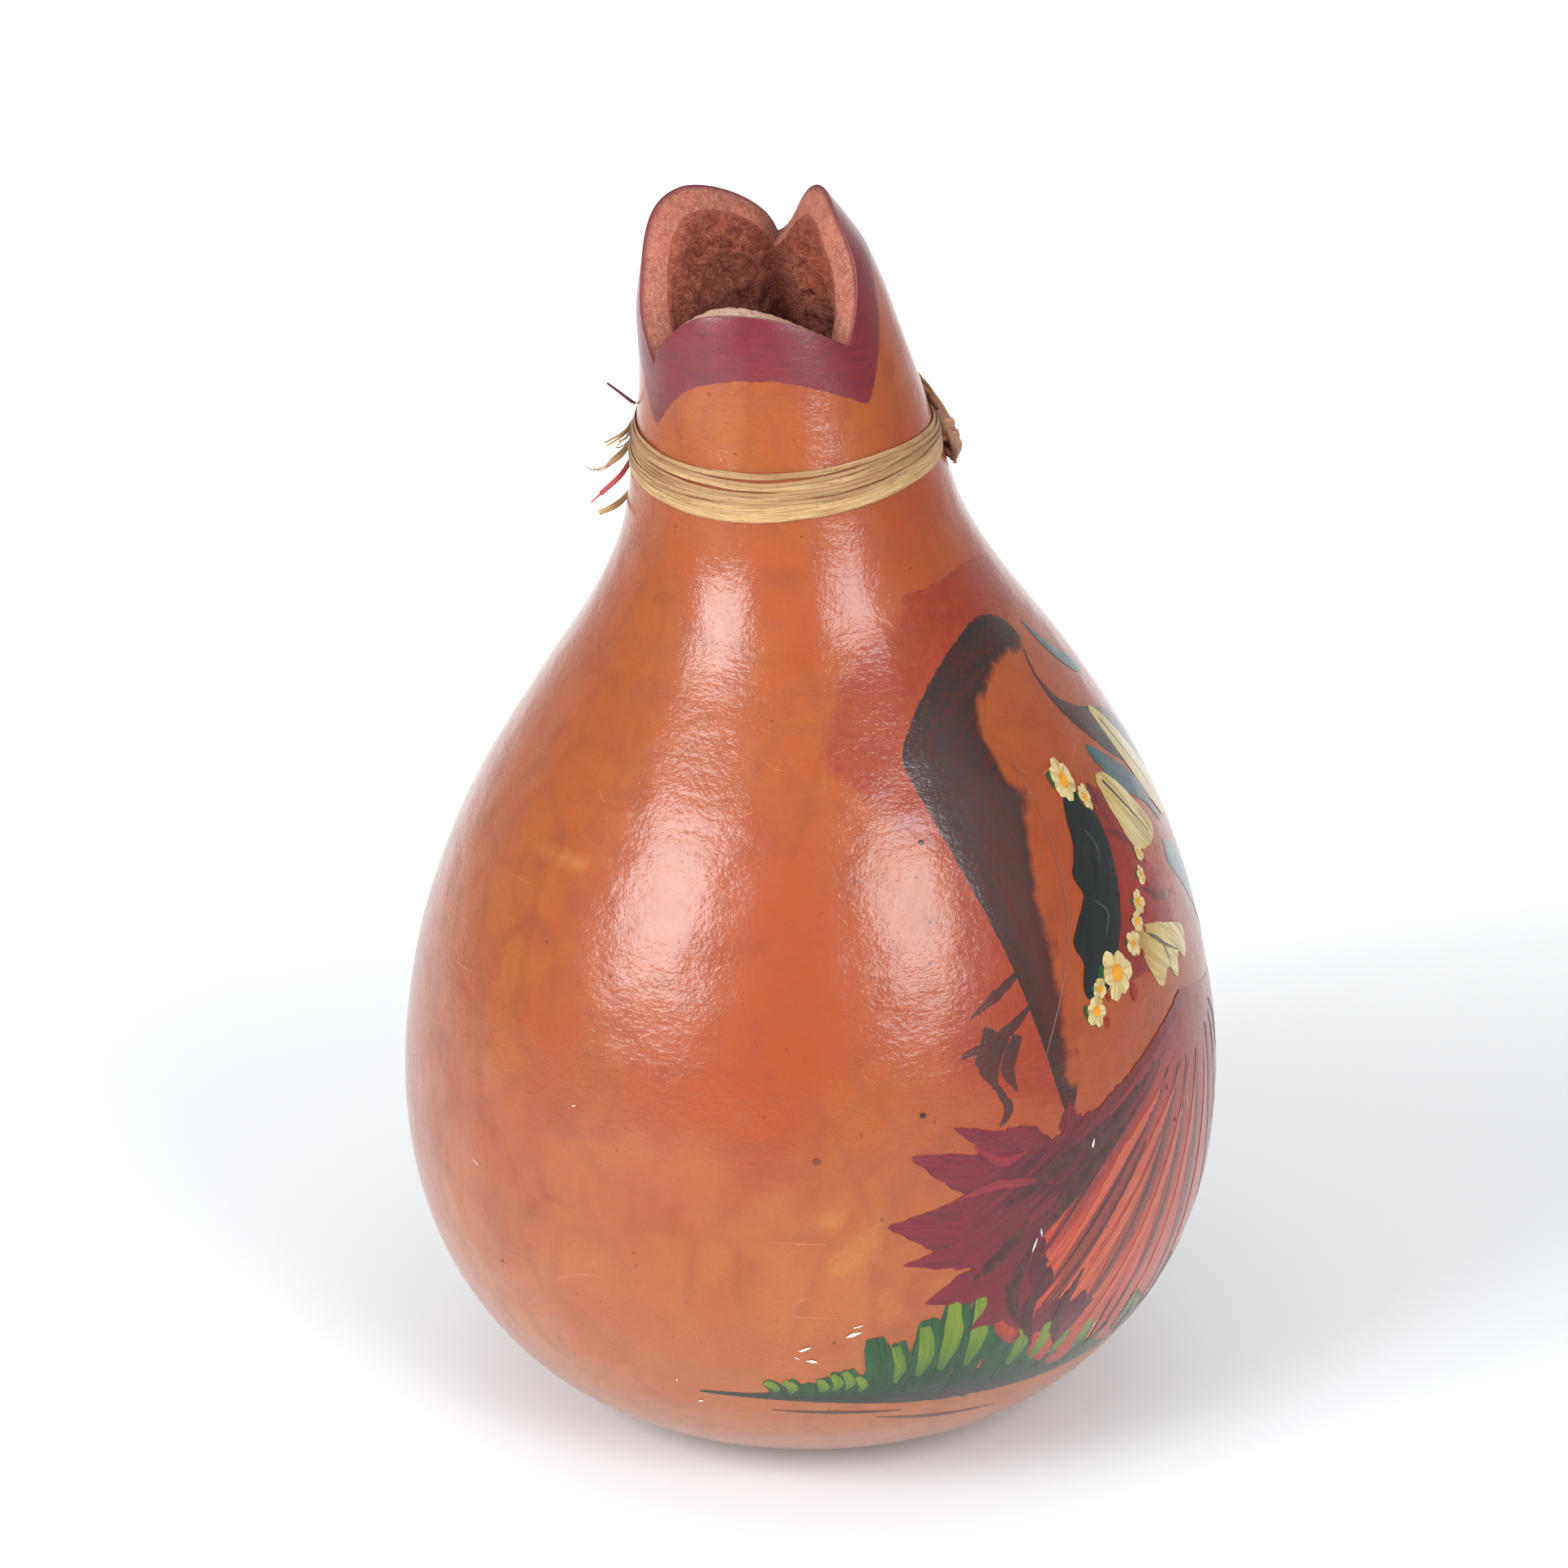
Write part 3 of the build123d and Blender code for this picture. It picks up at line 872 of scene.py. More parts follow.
# the colours of each dyed fibre, as in raffia_material, and its ends
DYED_ENDS = {
    "red_fibre": (
        ((186, 70, 70), (168, 46, 52), (116, 32, 36), (92, 50, 40)),
        (((-122, 264, 0.7), (-112, 260.8, 0.5), (-99, 260.0, 0.6), (-90.5, 258.6, 2.4),
          (-89, 254.6, 7.0)), (1.1, 1.2, 1.3, 1.4, 1.3)),
        (((-89.4, 255.8, 5.6), (-89, 254.2, 7.4), (-88.6, 252.6, 9.2)), (0.8, 0.6, 0.4)),
    ),
    "maroon_fibre": (
        ((104, 44, 50), (84, 32, 40), (56, 24, 30), (40, 18, 20)),
        (((-106, 275.0, 0.6), (-96, 277.8, 0.9), (-91, 280.0, 1.6), (-90.4, 283.6, 4.9),
          (-90, 287.2, 8.2)), (0.8, 0.9, 0.9, 0.75, 0.6)),
    ),
}
STRAW = ((190, 154, 102), (174, 134, 84), (134, 86, 48), (96, 48, 28))
BROWN = ((196, 142, 104), (172, 116, 84), (126, 78, 56), (92, 52, 38))
DYED_TONE = 0.8
END_THICKNESS = 0.3
END_STEPS = 30
END_FACING = (-0.2, -1, 0.35)  # the way their flat sides look
NECK = 262  # a height in the middle of the tie
HAIRS = 3  # loose ones on each turn
HAIR_STEPS = (40, 120)  # how many of the turn's points each one runs along


def ring_values(stations, turns, column):
    """A station table's column all round, without corners."""
    table = sorted(stations)
    table = [(table[-1][0] - FULL_TURN, *table[-1][1:]), *table]
    table.append((table[1][0] + FULL_TURN, *table[1][1:]))
    raw = np.interp(turns, [t[0] for t in table], [t[column] for t in table])
    return smooth_ring(raw, 60)


def waver(values, seed, rate):
    """Slow noise along a run, one number for each value, between about -1 and 1."""
    return np.array([noise.noise(Vector((v * rate, seed * 3.7, seed * 1.3))) for v in values])


def strip(path, outward, width, thickness, seed, closed=False, ridge=0.14):
    """A fibrous ribbon along a path: its points and faces, and how far across and along
    it, and how near its rim, each point is."""
    path = np.asarray(path, float)
    count = len(path)
    if closed:
        tangent = unit(np.roll(path, -1, 0) - np.roll(path, 1, 0))
    else:
        tangent = unit(np.gradient(path, axis=0))
    side = unit(np.cross(outward, tangent))
    out = np.cross(tangent, side)
    width = np.broadcast_to(width, (count,))
    thickness = np.broadcast_to(thickness, (count,))
    run = run_along(path)
    turn = np.arange(SECTION_POINTS) * 2 * np.pi / SECTION_POINTS
    flat, lift = np.cos(turn), np.sin(turn)
    lift = np.sign(lift) * abs(lift) ** SECTION_SQUARENESS
    made = {"points": [], "faces": [], "across": [], "along": [], "rim": []}
    for k in range(count):
        u = flat * width[k] / 2
        creases = [
            noise.noise(Vector((a * 1.9 + seed * 11, run[k] * 0.045, seed)))
            + 0.6 * noise.noise(Vector((a * 4.6 + seed * 5, run[k] * 0.09, seed + 4)))
            for a in u
        ]
        share = min(1.0, width[k] / 1.5)
        t = lift * thickness[k] / 2 + np.where(lift > 0.05, ridge * share * np.array(creases), 0)
        made["points"].append(path[k] + np.outer(u, side[k]) + np.outer(t, out[k]))
        made["across"].append(u + seed * 10)
        made["along"].append(np.full(SECTION_POINTS, run[k]))
        # 1 at the strip's edges and all over its underside, where the material paints shade
        made["rim"].append(np.where(lift > -0.2, abs(flat), 1.0))
    for k in range(count if closed else count - 1):
        following = (k + 1) % count * SECTION_POINTS
        bridge(made["faces"], (k * SECTION_POINTS, SECTION_POINTS), (following, SECTION_POINTS))
    if not closed:
        last = (count - 1) * SECTION_POINTS
        made["faces"].append(tuple(range(SECTION_POINTS))[::-1])
        made["faces"].append(tuple(range(last, last + SECTION_POINTS)))
    return {key: v if key == "faces" else np.concatenate(v) for key, v in made.items()}


def raffia_piece(name, strips, tones, slot, replaced, material):
    """One piece made of several strips, each with its tone."""
    faces, start = [], 0
    for made in strips:
        faces.extend(tuple(v + start for v in face) for face in made["faces"])
        start += len(made["points"])
    merged = {key: np.concatenate([made[key] for made in strips]) for key in STRIP_LAYERS}
    tone = np.repeat(tones, [len(made["points"]) for made in strips])
    piece = new_piece(name, merged.pop("points"), faces, slot, [replaced])
    set_values(piece, tone=tone, **merged)
    piece.data.materials.append(material)


def raffia_material(name, colours):
    """Dry fibre, streaked along each strip, with painted shade at its rims and underside."""
    s = Shader(name)
    pale, mid, dark, fleck_and_shade = (srgb(*colour) for colour in colours)
    across, along = s.attribute("across"), s.attribute("along")
    tone = s.attribute("tone")

    def streaks(wide, far, detail, rough=0.6):
        place = {"X": s.times(across, wide), "Y": s.times(along, far), "Z": tone}
        return s.noise(s.node("CombineXYZ", place).outputs[0], 1.0, detail, rough)

    fine = streaks(3.4, 0.1, 4)
    broad = streaks(1.1, 0.035, 3)
    flecks = streaks(1.6, 0.3, 4, 0.75)
    colour = s.mix(s.ramp(broad, 0.36, 0.6), mid, pale)
    colour = s.mix(s.times(s.ramp(tone, 0.0, 1.0, 1.0, 0.0), 0.55), colour, dark)
    colour = s.over(
        colour,
        (fine, 0.45, 0.66, 0.75, dark),
        (flecks, 0.57, 0.7, 0.8, fleck_and_shade),
        # painted shade at each strip's rims and underside, in the fleck colour
        (s.attribute("rim"), 0.78, 1.0, 0.5, fleck_and_shade),
    )
    relief = s.bump(s.math("ADD", fine, flecks), 0.16, 0.9)
    s.set(Base_Color=colour, Roughness=0.55, Sheen_Weight=0.15, Sheen_Roughness=0.4, Normal=relief)
    return s.material


def wrap_path(number):
    """The path and the outward directions of one turn of the tie."""
    turns = np.arange(WRAP_POINTS) * FULL_TURN / WRAP_POINTS - 180
    bottom, top = (ring_values(TIE_STATIONS, turns, c) for c in (1, 2))
    widths = [w[0] for w in WRAPS]
    middles = np.cumsum(widths) - np.array(widths) / 2
    share = (middles[number] - middles[0]) / (middles[-1] - middles[0])
    low, high = bottom + widths[0] / 2, top - widths[-1] / 2
    height = low + (high - low) * share
    seam = np.minimum(1, (180 - abs(turns)) / 12)  # so that the turn's noise closes
    height += 0.85 * seam * waver(turns, number, 0.02) + 0.2 * seam * waver(turns, number + 9, 0.08)
    crowding = np.clip((ROOMY_TIE - (top - bottom)) / 6, 0, 1)
    stand = WRAP_THICKNESS / 2 + 0.08 + WRAPS[number][1] * (0.34 + 0.3 * crowding)
    stand = stand + 0.1 * seam * waver(turns, number + 20, 0.05)
    out = radial(axes(height), turns)
    lean = (radius_at(height + 1) - radius_at(height - 1)) / 2
    outward = unit(out - axes(height)[2] * lean[:, None])
    roll = 0.1 * seam * waver(turns, number + 31, 0.03)
    return surface(turns, height, stand), unit(outward + axes(height)[2] * roll[:, None])


def free_end(stations, widths, seed):
    """A strip that has come away from the tie, through a few points beside the neck."""
    t = np.linspace(0, len(stations) - 1, END_STEPS)
    path = smooth_through(neck_points(stations), t)
    width = smooth_through(np.array(widths, float)[:, None], t)[:, 0].clip(0.08)
    facing = np.broadcast_to(np.array(END_FACING, float), path.shape)
    return strip(path, facing, width, END_THICKNESS * np.clip(width, 0.35, 1), seed, ridge=0.05)


def smooth_through(points, t):
    """Catmull-Rom: the points of a smooth curve through these points."""
    points = np.asarray(points, float)
    padded = np.concatenate([[2 * points[0] - points[1]], points, [2 * points[-1] - points[-2]]])
    k = np.clip(np.floor(t).astype(int), 0, len(points) - 2)
    f = (t - k)[:, None]
    a, b, c, d = (padded[k + j] for j in range(4))
    return 0.5 * (
        2 * b + (c - a) * f + (2 * a - 5 * b + 4 * c - d) * f**2 + (3 * b - 3 * c + d - a) * f**3
    )


def make_tie():
    straw = raffia_material("raffia_straw", STRAW)
    for k, (width, _, tone) in enumerate(WRAPS):
        name = f"raffia_wrap_{k + 1}"
        path, out = wrap_path(k)
        swell = width * (1 + 0.14 * waver(np.arange(WRAP_POINTS), k + 50, 0.03))
        swell[-1] = swell[0]
        strips = [strip(path, out, swell, WRAP_THICKNESS, k + 1, closed=True)]
        ends = FREE_ENDS.get(name, ())
        strips.extend(free_end(*end, 20 + k + j) for j, end in enumerate(ends))
        strips.extend(loose_hairs(k))
        tones = [tone] * len(strips)
        raffia_piece(name, strips, tones, "raffia", f"raffia_strand_{k + 1}", straw)
    for name, (colours, *ends) in DYED_ENDS.items():
        made = [free_end(*end, 30 + k) for k, end in enumerate(ends)]
        tones = [DYED_TONE] * len(made)
        raffia_piece(f"{name}_end", made, tones, name, name, raffia_material(name, colours))


def loose_hairs(number):
    """Thin fibres that have come away from a turn and lie along the tie."""
    random.seed(100 + number)
    path, out = wrap_path(number)
    made = []
    for k in range(HAIRS):
        first = random.randrange(WRAP_POINTS)
        length = random.randrange(*HAIR_STEPS)
        index = (first + np.arange(length)) % WRAP_POINTS
        drift = random.uniform(-0.9, 0.9) * np.linspace(-1, 1, length)
        up = axes(NECK)[2] * (drift + random.uniform(-0.7, 0.7))[:, None]
        rise = 0.34 + 0.25 * np.sin(np.linspace(0, np.pi, length)) * random.random()
        bow = path[index] + out[index] * rise[:, None] + up
        width = 0.3 * np.sin(np.linspace(0.15, np.pi - 0.15, length)) + 0.05
        seed = 60 + number * HAIRS + k
        made.append(strip(bow, out[index], width, width * 0.7, seed, ridge=0))
    return made


# ---- the knot ----
KNOT_AZIMUTH, KNOT_STAND = 97, 2.4
# strands of the knot: (azimuth, height, distance from the neck) from top to bottom
KNOT_STRANDS = (
    ((112, 269.0, 1.2), (104, 266.4, 2.0), (98, 262.6, 2.6), (95.5, 258.6, 3.0), (97, 254.4, 1.8)),
    ((104, 268.2, 1.4), (99, 265.0, 2.4), (94, 261.4, 2.4), (92, 257.8, 2.8), (96, 254.0, 1.8)),
    ((108, 266.8, 1.2), (103, 263.4, 2.4), (101, 259.6, 3.0), (100, 256.2, 2.8), (98.5, 253.8, 2.0)),
    ((97, 266.0, 1.3), (94, 262.6, 1.8), (97, 258.6, 1.6), (98, 255.4, 1.5), (99, 254.0, 1.2)),
    ((106, 265.0, 1.2), (98, 261.0, 3.2), (96, 257.0, 3.6), (97.5, 254.6, 2.6), (98, 253.4, 1.8)),
)
STRAND_SIZE = (3.0, 2.1)  # width and thickness
# height, reach and slant of the loops round them
KNOT_WRAPS = ((256.6, 2.9, 0.3), (259.4, 3.2, -0.3), (262.4, 2.8, -0.5))
LOOP_SIZE = (2.5, 1.2)
KNOT_TONES = (0.9, 0.4, 0.7, 0.2, 0.8, 0.35, 0.75, 0.5)  # of the strands and then the loops
BIGHTS = (
    ((131, 274.4, 0.9), (121, 272.6, 1.3), (112, 270.2, 1.8), (104, 267.0, 2.5), (99, 263.2, 3.2)),
    ((128, 272.2, 0.9), (118, 270.6, 1.4), (109, 268.4, 2.1), (102, 265.8, 3.0), (98, 262.4, 3.8)),
    ((126, 270.4, 0.9), (115, 268.8, 1.3), (107, 266.6, 1.8), (100, 264.0, 2.4), (96, 261.4, 2.8)),
)
BIGHT_TONES = (1.0, 0.8, 0.9)
TAIL_ROOT = ((98, 256.2, 2.2), (98.2, 254.2, 2.4))
TAIL_TIPS = ((98.5, 252.4, 2.6), (97.2, 251.6, 1.7), (99.6, 253.0, 3.2))
TAIL_TONE = 0.3


def neck_points(stations):
    return np.array([surface(a, h, d) for a, h, d in stations])


def neck_strip(stations, ends, thickness, seed, steps=40, ridge=0.16):
    """A strip beside the neck, with the widths at its two ends."""
    points = neck_points(stations)
    path = smooth_through(points, np.linspace(0, len(points) - 1, steps))
    out = path - centres(path[:, 2])
    out[:, 2] = 0
    return strip(path, out, np.linspace(*ends, steps), thickness, seed, ridge=ridge)


def knot_loop(height, reach, slant, seed):
    """One turn of the knot round its own strands."""
    middle = surface(KNOT_AZIMUTH, height, KNOT_STAND)
    across, back, along = axes(height)
    out = radial((across, back), np.array(KNOT_AZIMUTH))
    side = np.cross(along, out)
    turn = np.linspace(0, 2 * np.pi, 48, endpoint=False)
    forth = np.outer(np.cos(turn) * reach * 0.66, out)
    aside = np.outer(np.sin(turn) * reach, side)
    path = middle + forth + aside + np.outer(np.sin(turn) * reach * slant, along)
    return strip(path, path - middle, *LOOP_SIZE, seed, closed=True, ridge=0.3)


def make_knot():
    brown = raffia_material("raffia_brown", BROWN)
    straw = bpy.data.materials["raffia_straw"]
    width, thick = STRAND_SIZE
    strips = [
        neck_strip(s, (width, width), thick, 70 + k, ridge=0.3) for k, s in enumerate(KNOT_STRANDS)
    ]
    strips.extend(knot_loop(*loop, 80 + k) for k, loop in enumerate(KNOT_WRAPS))
    raffia_piece("raffia_knot_twist", strips, KNOT_TONES, "knot_raffia", "raffia_knot", brown)
    strips = [neck_strip(s, (1.8, 2.4), 1.1, 90 + k) for k, s in enumerate(BIGHTS)]
    raffia_piece("raffia_bight_loop", strips, BIGHT_TONES, "raffia", "raffia_bight", straw)
    strips = [
        neck_strip((*TAIL_ROOT, tip), (2.4, 0.5), 1.0, 95 + k, steps=24)
        for k, tip in enumerate(TAIL_TIPS)
    ]
    tones = [TAIL_TONE] * len(strips)
    raffia_piece("raffia_tail", strips, tones, "knot_raffia", "raffia_knot_tail", brown)


# ======== the painting ========
# A loose bough with hanging flowers over a large bloom, leaves and grass.
# Every place is (azimuth, height) on the gourd; widths are millimetres.
DEGREE = 1.85  # millimetres of the belly's skin to a degree
PAINT_LIFT = 0.09
PAINT_LAYER = 0.035
PAINT_STEPS = (0.3, 1.15)  # the least and the most between a shape's points
EDGE_DROP = 0.03  # how far a shape's edge lies below its middle
FADE_WANDER = 1.6  # how raggedly a thin edge fades out, in millimetres

DARK_BROWN = srgb(46, 28, 26)
SMOKY_RED = srgb(78, 24, 16)
BLACK = srgb(16, 19, 19)
EARTH = srgb(28, 30, 20)
SOIL = srgb(40, 28, 20)
DEEP_MAROON = srgb(80, 8, 24)
SLATE = srgb(58, 62, 66)
CREAM = srgb(190, 162, 98)
PALE_CREAM = srgb(206, 188, 136)
OCHRE = srgb(150, 112, 56)
YELLOW = srgb(214, 144, 14)
GREEN = srgb(22, 74, 32)
DEEP_GREEN = srgb(16, 40, 22)
YELLOW_GREEN = srgb(108, 122, 20)
TEAL = srgb(34, 84, 80)
BLUE_GREY = srgb(78, 90, 98)
CORAL = srgb(166, 50, 26)
PALE_CORAL = srgb(184, 74, 46)
BRICK = srgb(152, 34, 20)
MAROON = srgb(104, 14, 34)
PLUM = srgb(60, 8, 24)
RUST = srgb(120, 26, 12)
WHITE = srgb(226, 222, 214)


def flat(places):
    return np.array([(a * DEGREE, h) for a, h in places], float)


def closed_curve(points, step):
    """A smooth loop through flat points, with a point about every step."""
    points = np.asarray(points, float)
    count = len(points)
    ring = points[np.arange(-2, count + 3) % count]
    t = np.linspace(2, count + 2, 24 * count, endpoint=False)
    return even_loop(smooth_through(ring, t), step)


def even_loop(loop, step):
    closed = np.concatenate([loop, loop[:1]])
    run = np.r_[0, np.cumsum(np.linalg.norm(np.diff(closed, axis=0), axis=1))]
    stops = np.linspace(0, run[-1], max(10, round(run[-1] / step)), endpoint=False)
    return np.stack([np.interp(stops, run, closed[:, k]) for k in (0, 1)], -1)


def inside(points, loop):
    """Which points lie inside a loop."""
    a, b = loop, np.roll(loop, -1, 0)
    x, y = points[:, :1], points[:, 1:]
    spans = (a[:, 1] > y) != (b[:, 1] > y)
    rise = np.where(b[:, 1] == a[:, 1], 1e-9, b[:, 1] - a[:, 1])
    crossing = a[:, 0] + (y - a[:, 1]) * (b[:, 0] - a[:, 0]) / rise
    return ((x < crossing) & spans).sum(1) % 2 == 1


def away_from(points, line):
    """Each point's distance from a line's points, and the nearest one's index."""
    gaps = np.linalg.norm(points[:, None] - line[None], axis=-1)
    return gaps.min(1), gaps.argmin(1)


def fill(loop, step):
    """Flat points and triangles that fill a loop; the loop's own points come first."""
    low, high = loop.min(0), loop.max(0)
    grid = np.stack(np.meshgrid(*(np.arange(low[k], high[k], step) for k in (0, 1))), -1)
    grid = grid.reshape(-1, 2)
    grid[:, 0] += step / 2 * (np.round(grid[:, 1] / step) % 2)
    grid = grid[inside(grid, loop)]
    if len(grid):
        grid = grid[away_from(grid, loop)[0] > step * 0.55]
    points = [Vector(p) for p in (*loop, *grid)]
    edges = [(k, (k + 1) % len(loop)) for k in range(len(loop))]
    made = geometry.delaunay_2d_cdt(points, edges, [], 1, 1e-5)
    return np.array([tuple(p) for p in made[0]]), [tuple(face) for face in made[2]]


def blend_stops(share, colours):
    stops = np.linspace(0, 1, len(colours))
    colours = np.array(colours)
    return np.stack([np.interp(share, stops, colours[:, k]) for k in range(3)], -1)


class Painting:
    """One painted piece, laid on the gourd shape by shape."""

    def __init__(self, name):
        self.name = name
        self.points, self.faces, self.layers = [], [], []
        self.count = 0
        self.shapes = sum(map(ord, name)) % 50  # so that the pieces' noise differs

    def stroke(self, path, widths, colours, **look):
        """A brush stroke along a path, with a width at each of its points."""
        path = flat(path)
        t = np.linspace(0, len(path) - 1, 20 * len(path))
        line = smooth_through(path, t)
        half = smooth_through(np.array(widths, float)[:, None], t).clip(0.08) / 2
        tangent = unit(np.gradient(line, axis=0))
        side = np.stack([tangent[:, 1], -tangent[:, 0]], -1)
        loop = np.concatenate([line + side * half, (line - side * half)[::-1]])
        self.lay(loop, line, colours, **look)

    def strokes(self, paths, widths, colours, **look):
        for path in paths:
            self.stroke(path, widths, colours, **look)

    def patch(self, outline, spine, colours, **look):
        """A filled shape; its streaks follow the spine."""
        line = smooth_through(flat(spine), np.linspace(0, len(spine) - 1, 40))
        self.lay(closed_curve(flat(outline), 0.5), line, colours, **look)

    def dot(self, middle, size, squash, colour, **look):
        """A small round patch."""
        azimuth, height = middle
        ring = [
            (azimuth + math.sin(t) * size / DEGREE, height + math.cos(t) * size * squash)
            for t in np.linspace(0, 2 * math.pi, 7)[:-1]
        ]
        half, rise = (0.3, 0.2) if squash == 1 else (0.2, 0.1)
        spine = ((azimuth - half, height), (azimuth + half, height + rise))
        self.patch(ring, spine, (colour, colour), layer=6, ragged=0.1, **look)

    def lay(self, loop, line, colours, under=None, cover=1.0, fade=None, edge=None,
            layer=0, ragged=0.3):
        """Fills a loop with paint whose colours and streaks follow a line. under shows in
        the streaks, fade is a side to fade towards and how far, and edge is the colour
        along the rim, its width and its share."""
        self.shapes += 1
        step = float(np.clip(min(loop.max(0) - loop.min(0)) / 7, *PAINT_STEPS))
        loop = self.roughened(even_loop(loop, step), ragged)
        points, faces = fill(loop, step * 1.25)
        rim, _ = away_from(points, loop)
        across, nearest = away_from(points, line)
        run = run_along(line)
        tangent = unit(np.gradient(line, axis=0))[nearest]
        gap = points - line[nearest]
        sign = np.sign(tangent[:, 0] * gap[:, 1] - tangent[:, 1] * gap[:, 0])
        paint = blend_stops(run[nearest] / run[-1], colours)
        if edge:
            colour, width, share = edge
            near = np.clip(1 - rim / width, 0, 1)[:, None] * share
            paint = paint * (1 - near) + np.array(colour) * near
        covers = np.full(len(points), float(cover))
        if fade:
            side = smooth_through(flat(fade[0]), np.linspace(0, len(fade[0]) - 1, 60))
            places = np.column_stack([points * 0.12, np.full(len(points), self.shapes)])
            wander = FADE_WANDER * fractal(places, 1, octaves=3)
            covers *= np.clip((away_from(points, side)[0] + wander) / fade[1], 0, 1)
        lift = PAINT_LIFT + PAINT_LAYER * layer
        self.points.append(on_gourd(points, np.where(rim < 1e-4, lift - EDGE_DROP, lift)))
        self.faces.extend(tuple(v + self.count for v in face) for face in faces)
        unders = np.tile(colours[-1] if under is None else under, (len(points), 1))
        seeds = np.full(len(points), self.shapes * 3.1)
        grain = np.stack([run[nearest], across * sign, seeds], -1)
        self.layers.append((paint, unders, covers, grain))
        self.count += len(points)

    def roughened(self, loop, ragged):
        """The loop with the uneven edge of brushed paint."""
        outward = unit(loop - loop.mean(0) + 1e-6)
        rough = [
            noise.noise(Vector((*(p * 0.35), self.shapes * 2.3)))
            + 0.6 * noise.noise(Vector((*(p * 1.3), self.shapes)))
            for p in loop
        ]
        return loop + outward * (ragged * np.array(rough))[:, None]

    def done(self):
        piece = new_piece(self.name, np.concatenate(self.points), self.faces, "folk_paint")
        paint, under, cover, grain = map(np.concatenate, zip(*self.layers))
        set_values(piece, "FLOAT_COLOR", paint=paint, under=under)
        set_values(piece, "FLOAT_VECTOR", grain=grain)
        set_values(piece, cover=cover)
        dress_skin(piece)
        piece.data.materials.append(PAINT)


def on_gourd(places, lift):
    """Flat places put on the finished skin, and lifted off it."""
    azimuth, height = places[:, 0] / DEGREE, places[:, 1]
    starts = surface(azimuth, height, np.full(len(places), 12.0))
    inward = -radial(axes(height), azimuth)
    made = []
    for start, way, up in zip(starts, inward, lift):
        point, normal, _, _ = SKIN_TREE.ray_cast(Vector(start), Vector(way), 40)
        made.append(np.array(point + normal * up) if point else start)
    return np.array(made)


def paint_material():
    """Streaky paint that lets the rind show where it is worn or fades out."""
    s = Shader("folk_paint")
    place = s.place()
    grain = s.attribute("grain", "Vector")
    under = s.attribute("under", "Color")
    streak = s.noise(s.stretch(grain, (0.05, 0.75, 1)), 1.0, 4, 0.6, 0.8)
    bristle = s.noise(s.stretch(grain, (0.22, 3.6, 1)), 1.0, 3, 0.6, 0.6)
    colour = s.over(
        s.attribute("paint", "Color"), (streak, 0.4, 0.68, 0.8, under), (bristle, 0.5, 0.8, 0.3, under)
    )
    scuff = s.ramp(s.noise(place, 0.8, 5, 0.8), 0.7, 0.78, 0.0, 0.45)
    loose = s.times(s.noise(place, 0.4, 5, 0.7), 0.6)
    cover = s.math("SUBTRACT", s.times(s.attribute("cover"), 1.6), loose)
    cover = s.math("SUBTRACT", s.ramp(cover, 0.0, 1.0), scuff)
    cover = s.node("Clamp", {"Value": cover}).outputs[0]
    s.set(Base_Color=s.mix(cover, skin_colour(s), colour), Roughness=0.42, Specular_IOR_Level=0.25)
    varnished(s, s.math("ADD", streak, bristle), 0.03)
    return s.material


def paint_wash(p):
    """The thin red wash that the bough is painted over."""
    red = srgb(120, 20, 20)
    outline = (
        (84, 231), (66, 235), (48, 235), (34, 235), (20, 230), (9, 223), (5, 212), (3, 199),
        (9, 195), (15, 186), (22, 172), (19, 152), (19, 127), (27, 121), (36, 113), (39, 126),
        (39, 150), (37, 180), (36, 200), (42, 212), (52, 217), (66, 219), (84, 223),
    )
    loose_side = (
        (30, 237), (14, 229), (3, 214), (2, 198), (13, 184), (20, 172), (17, 150), (17, 127), (36, 110)
    )
    p.patch(outline, ((80, 224), (30, 222), (20, 150)), (red, red, srgb(130, 34, 22)), cover=0.52,
            fade=(loose_side, 9), edge=(srgb(80, 6, 14), 1.8, 0.5), layer=-1, ragged=0.9)


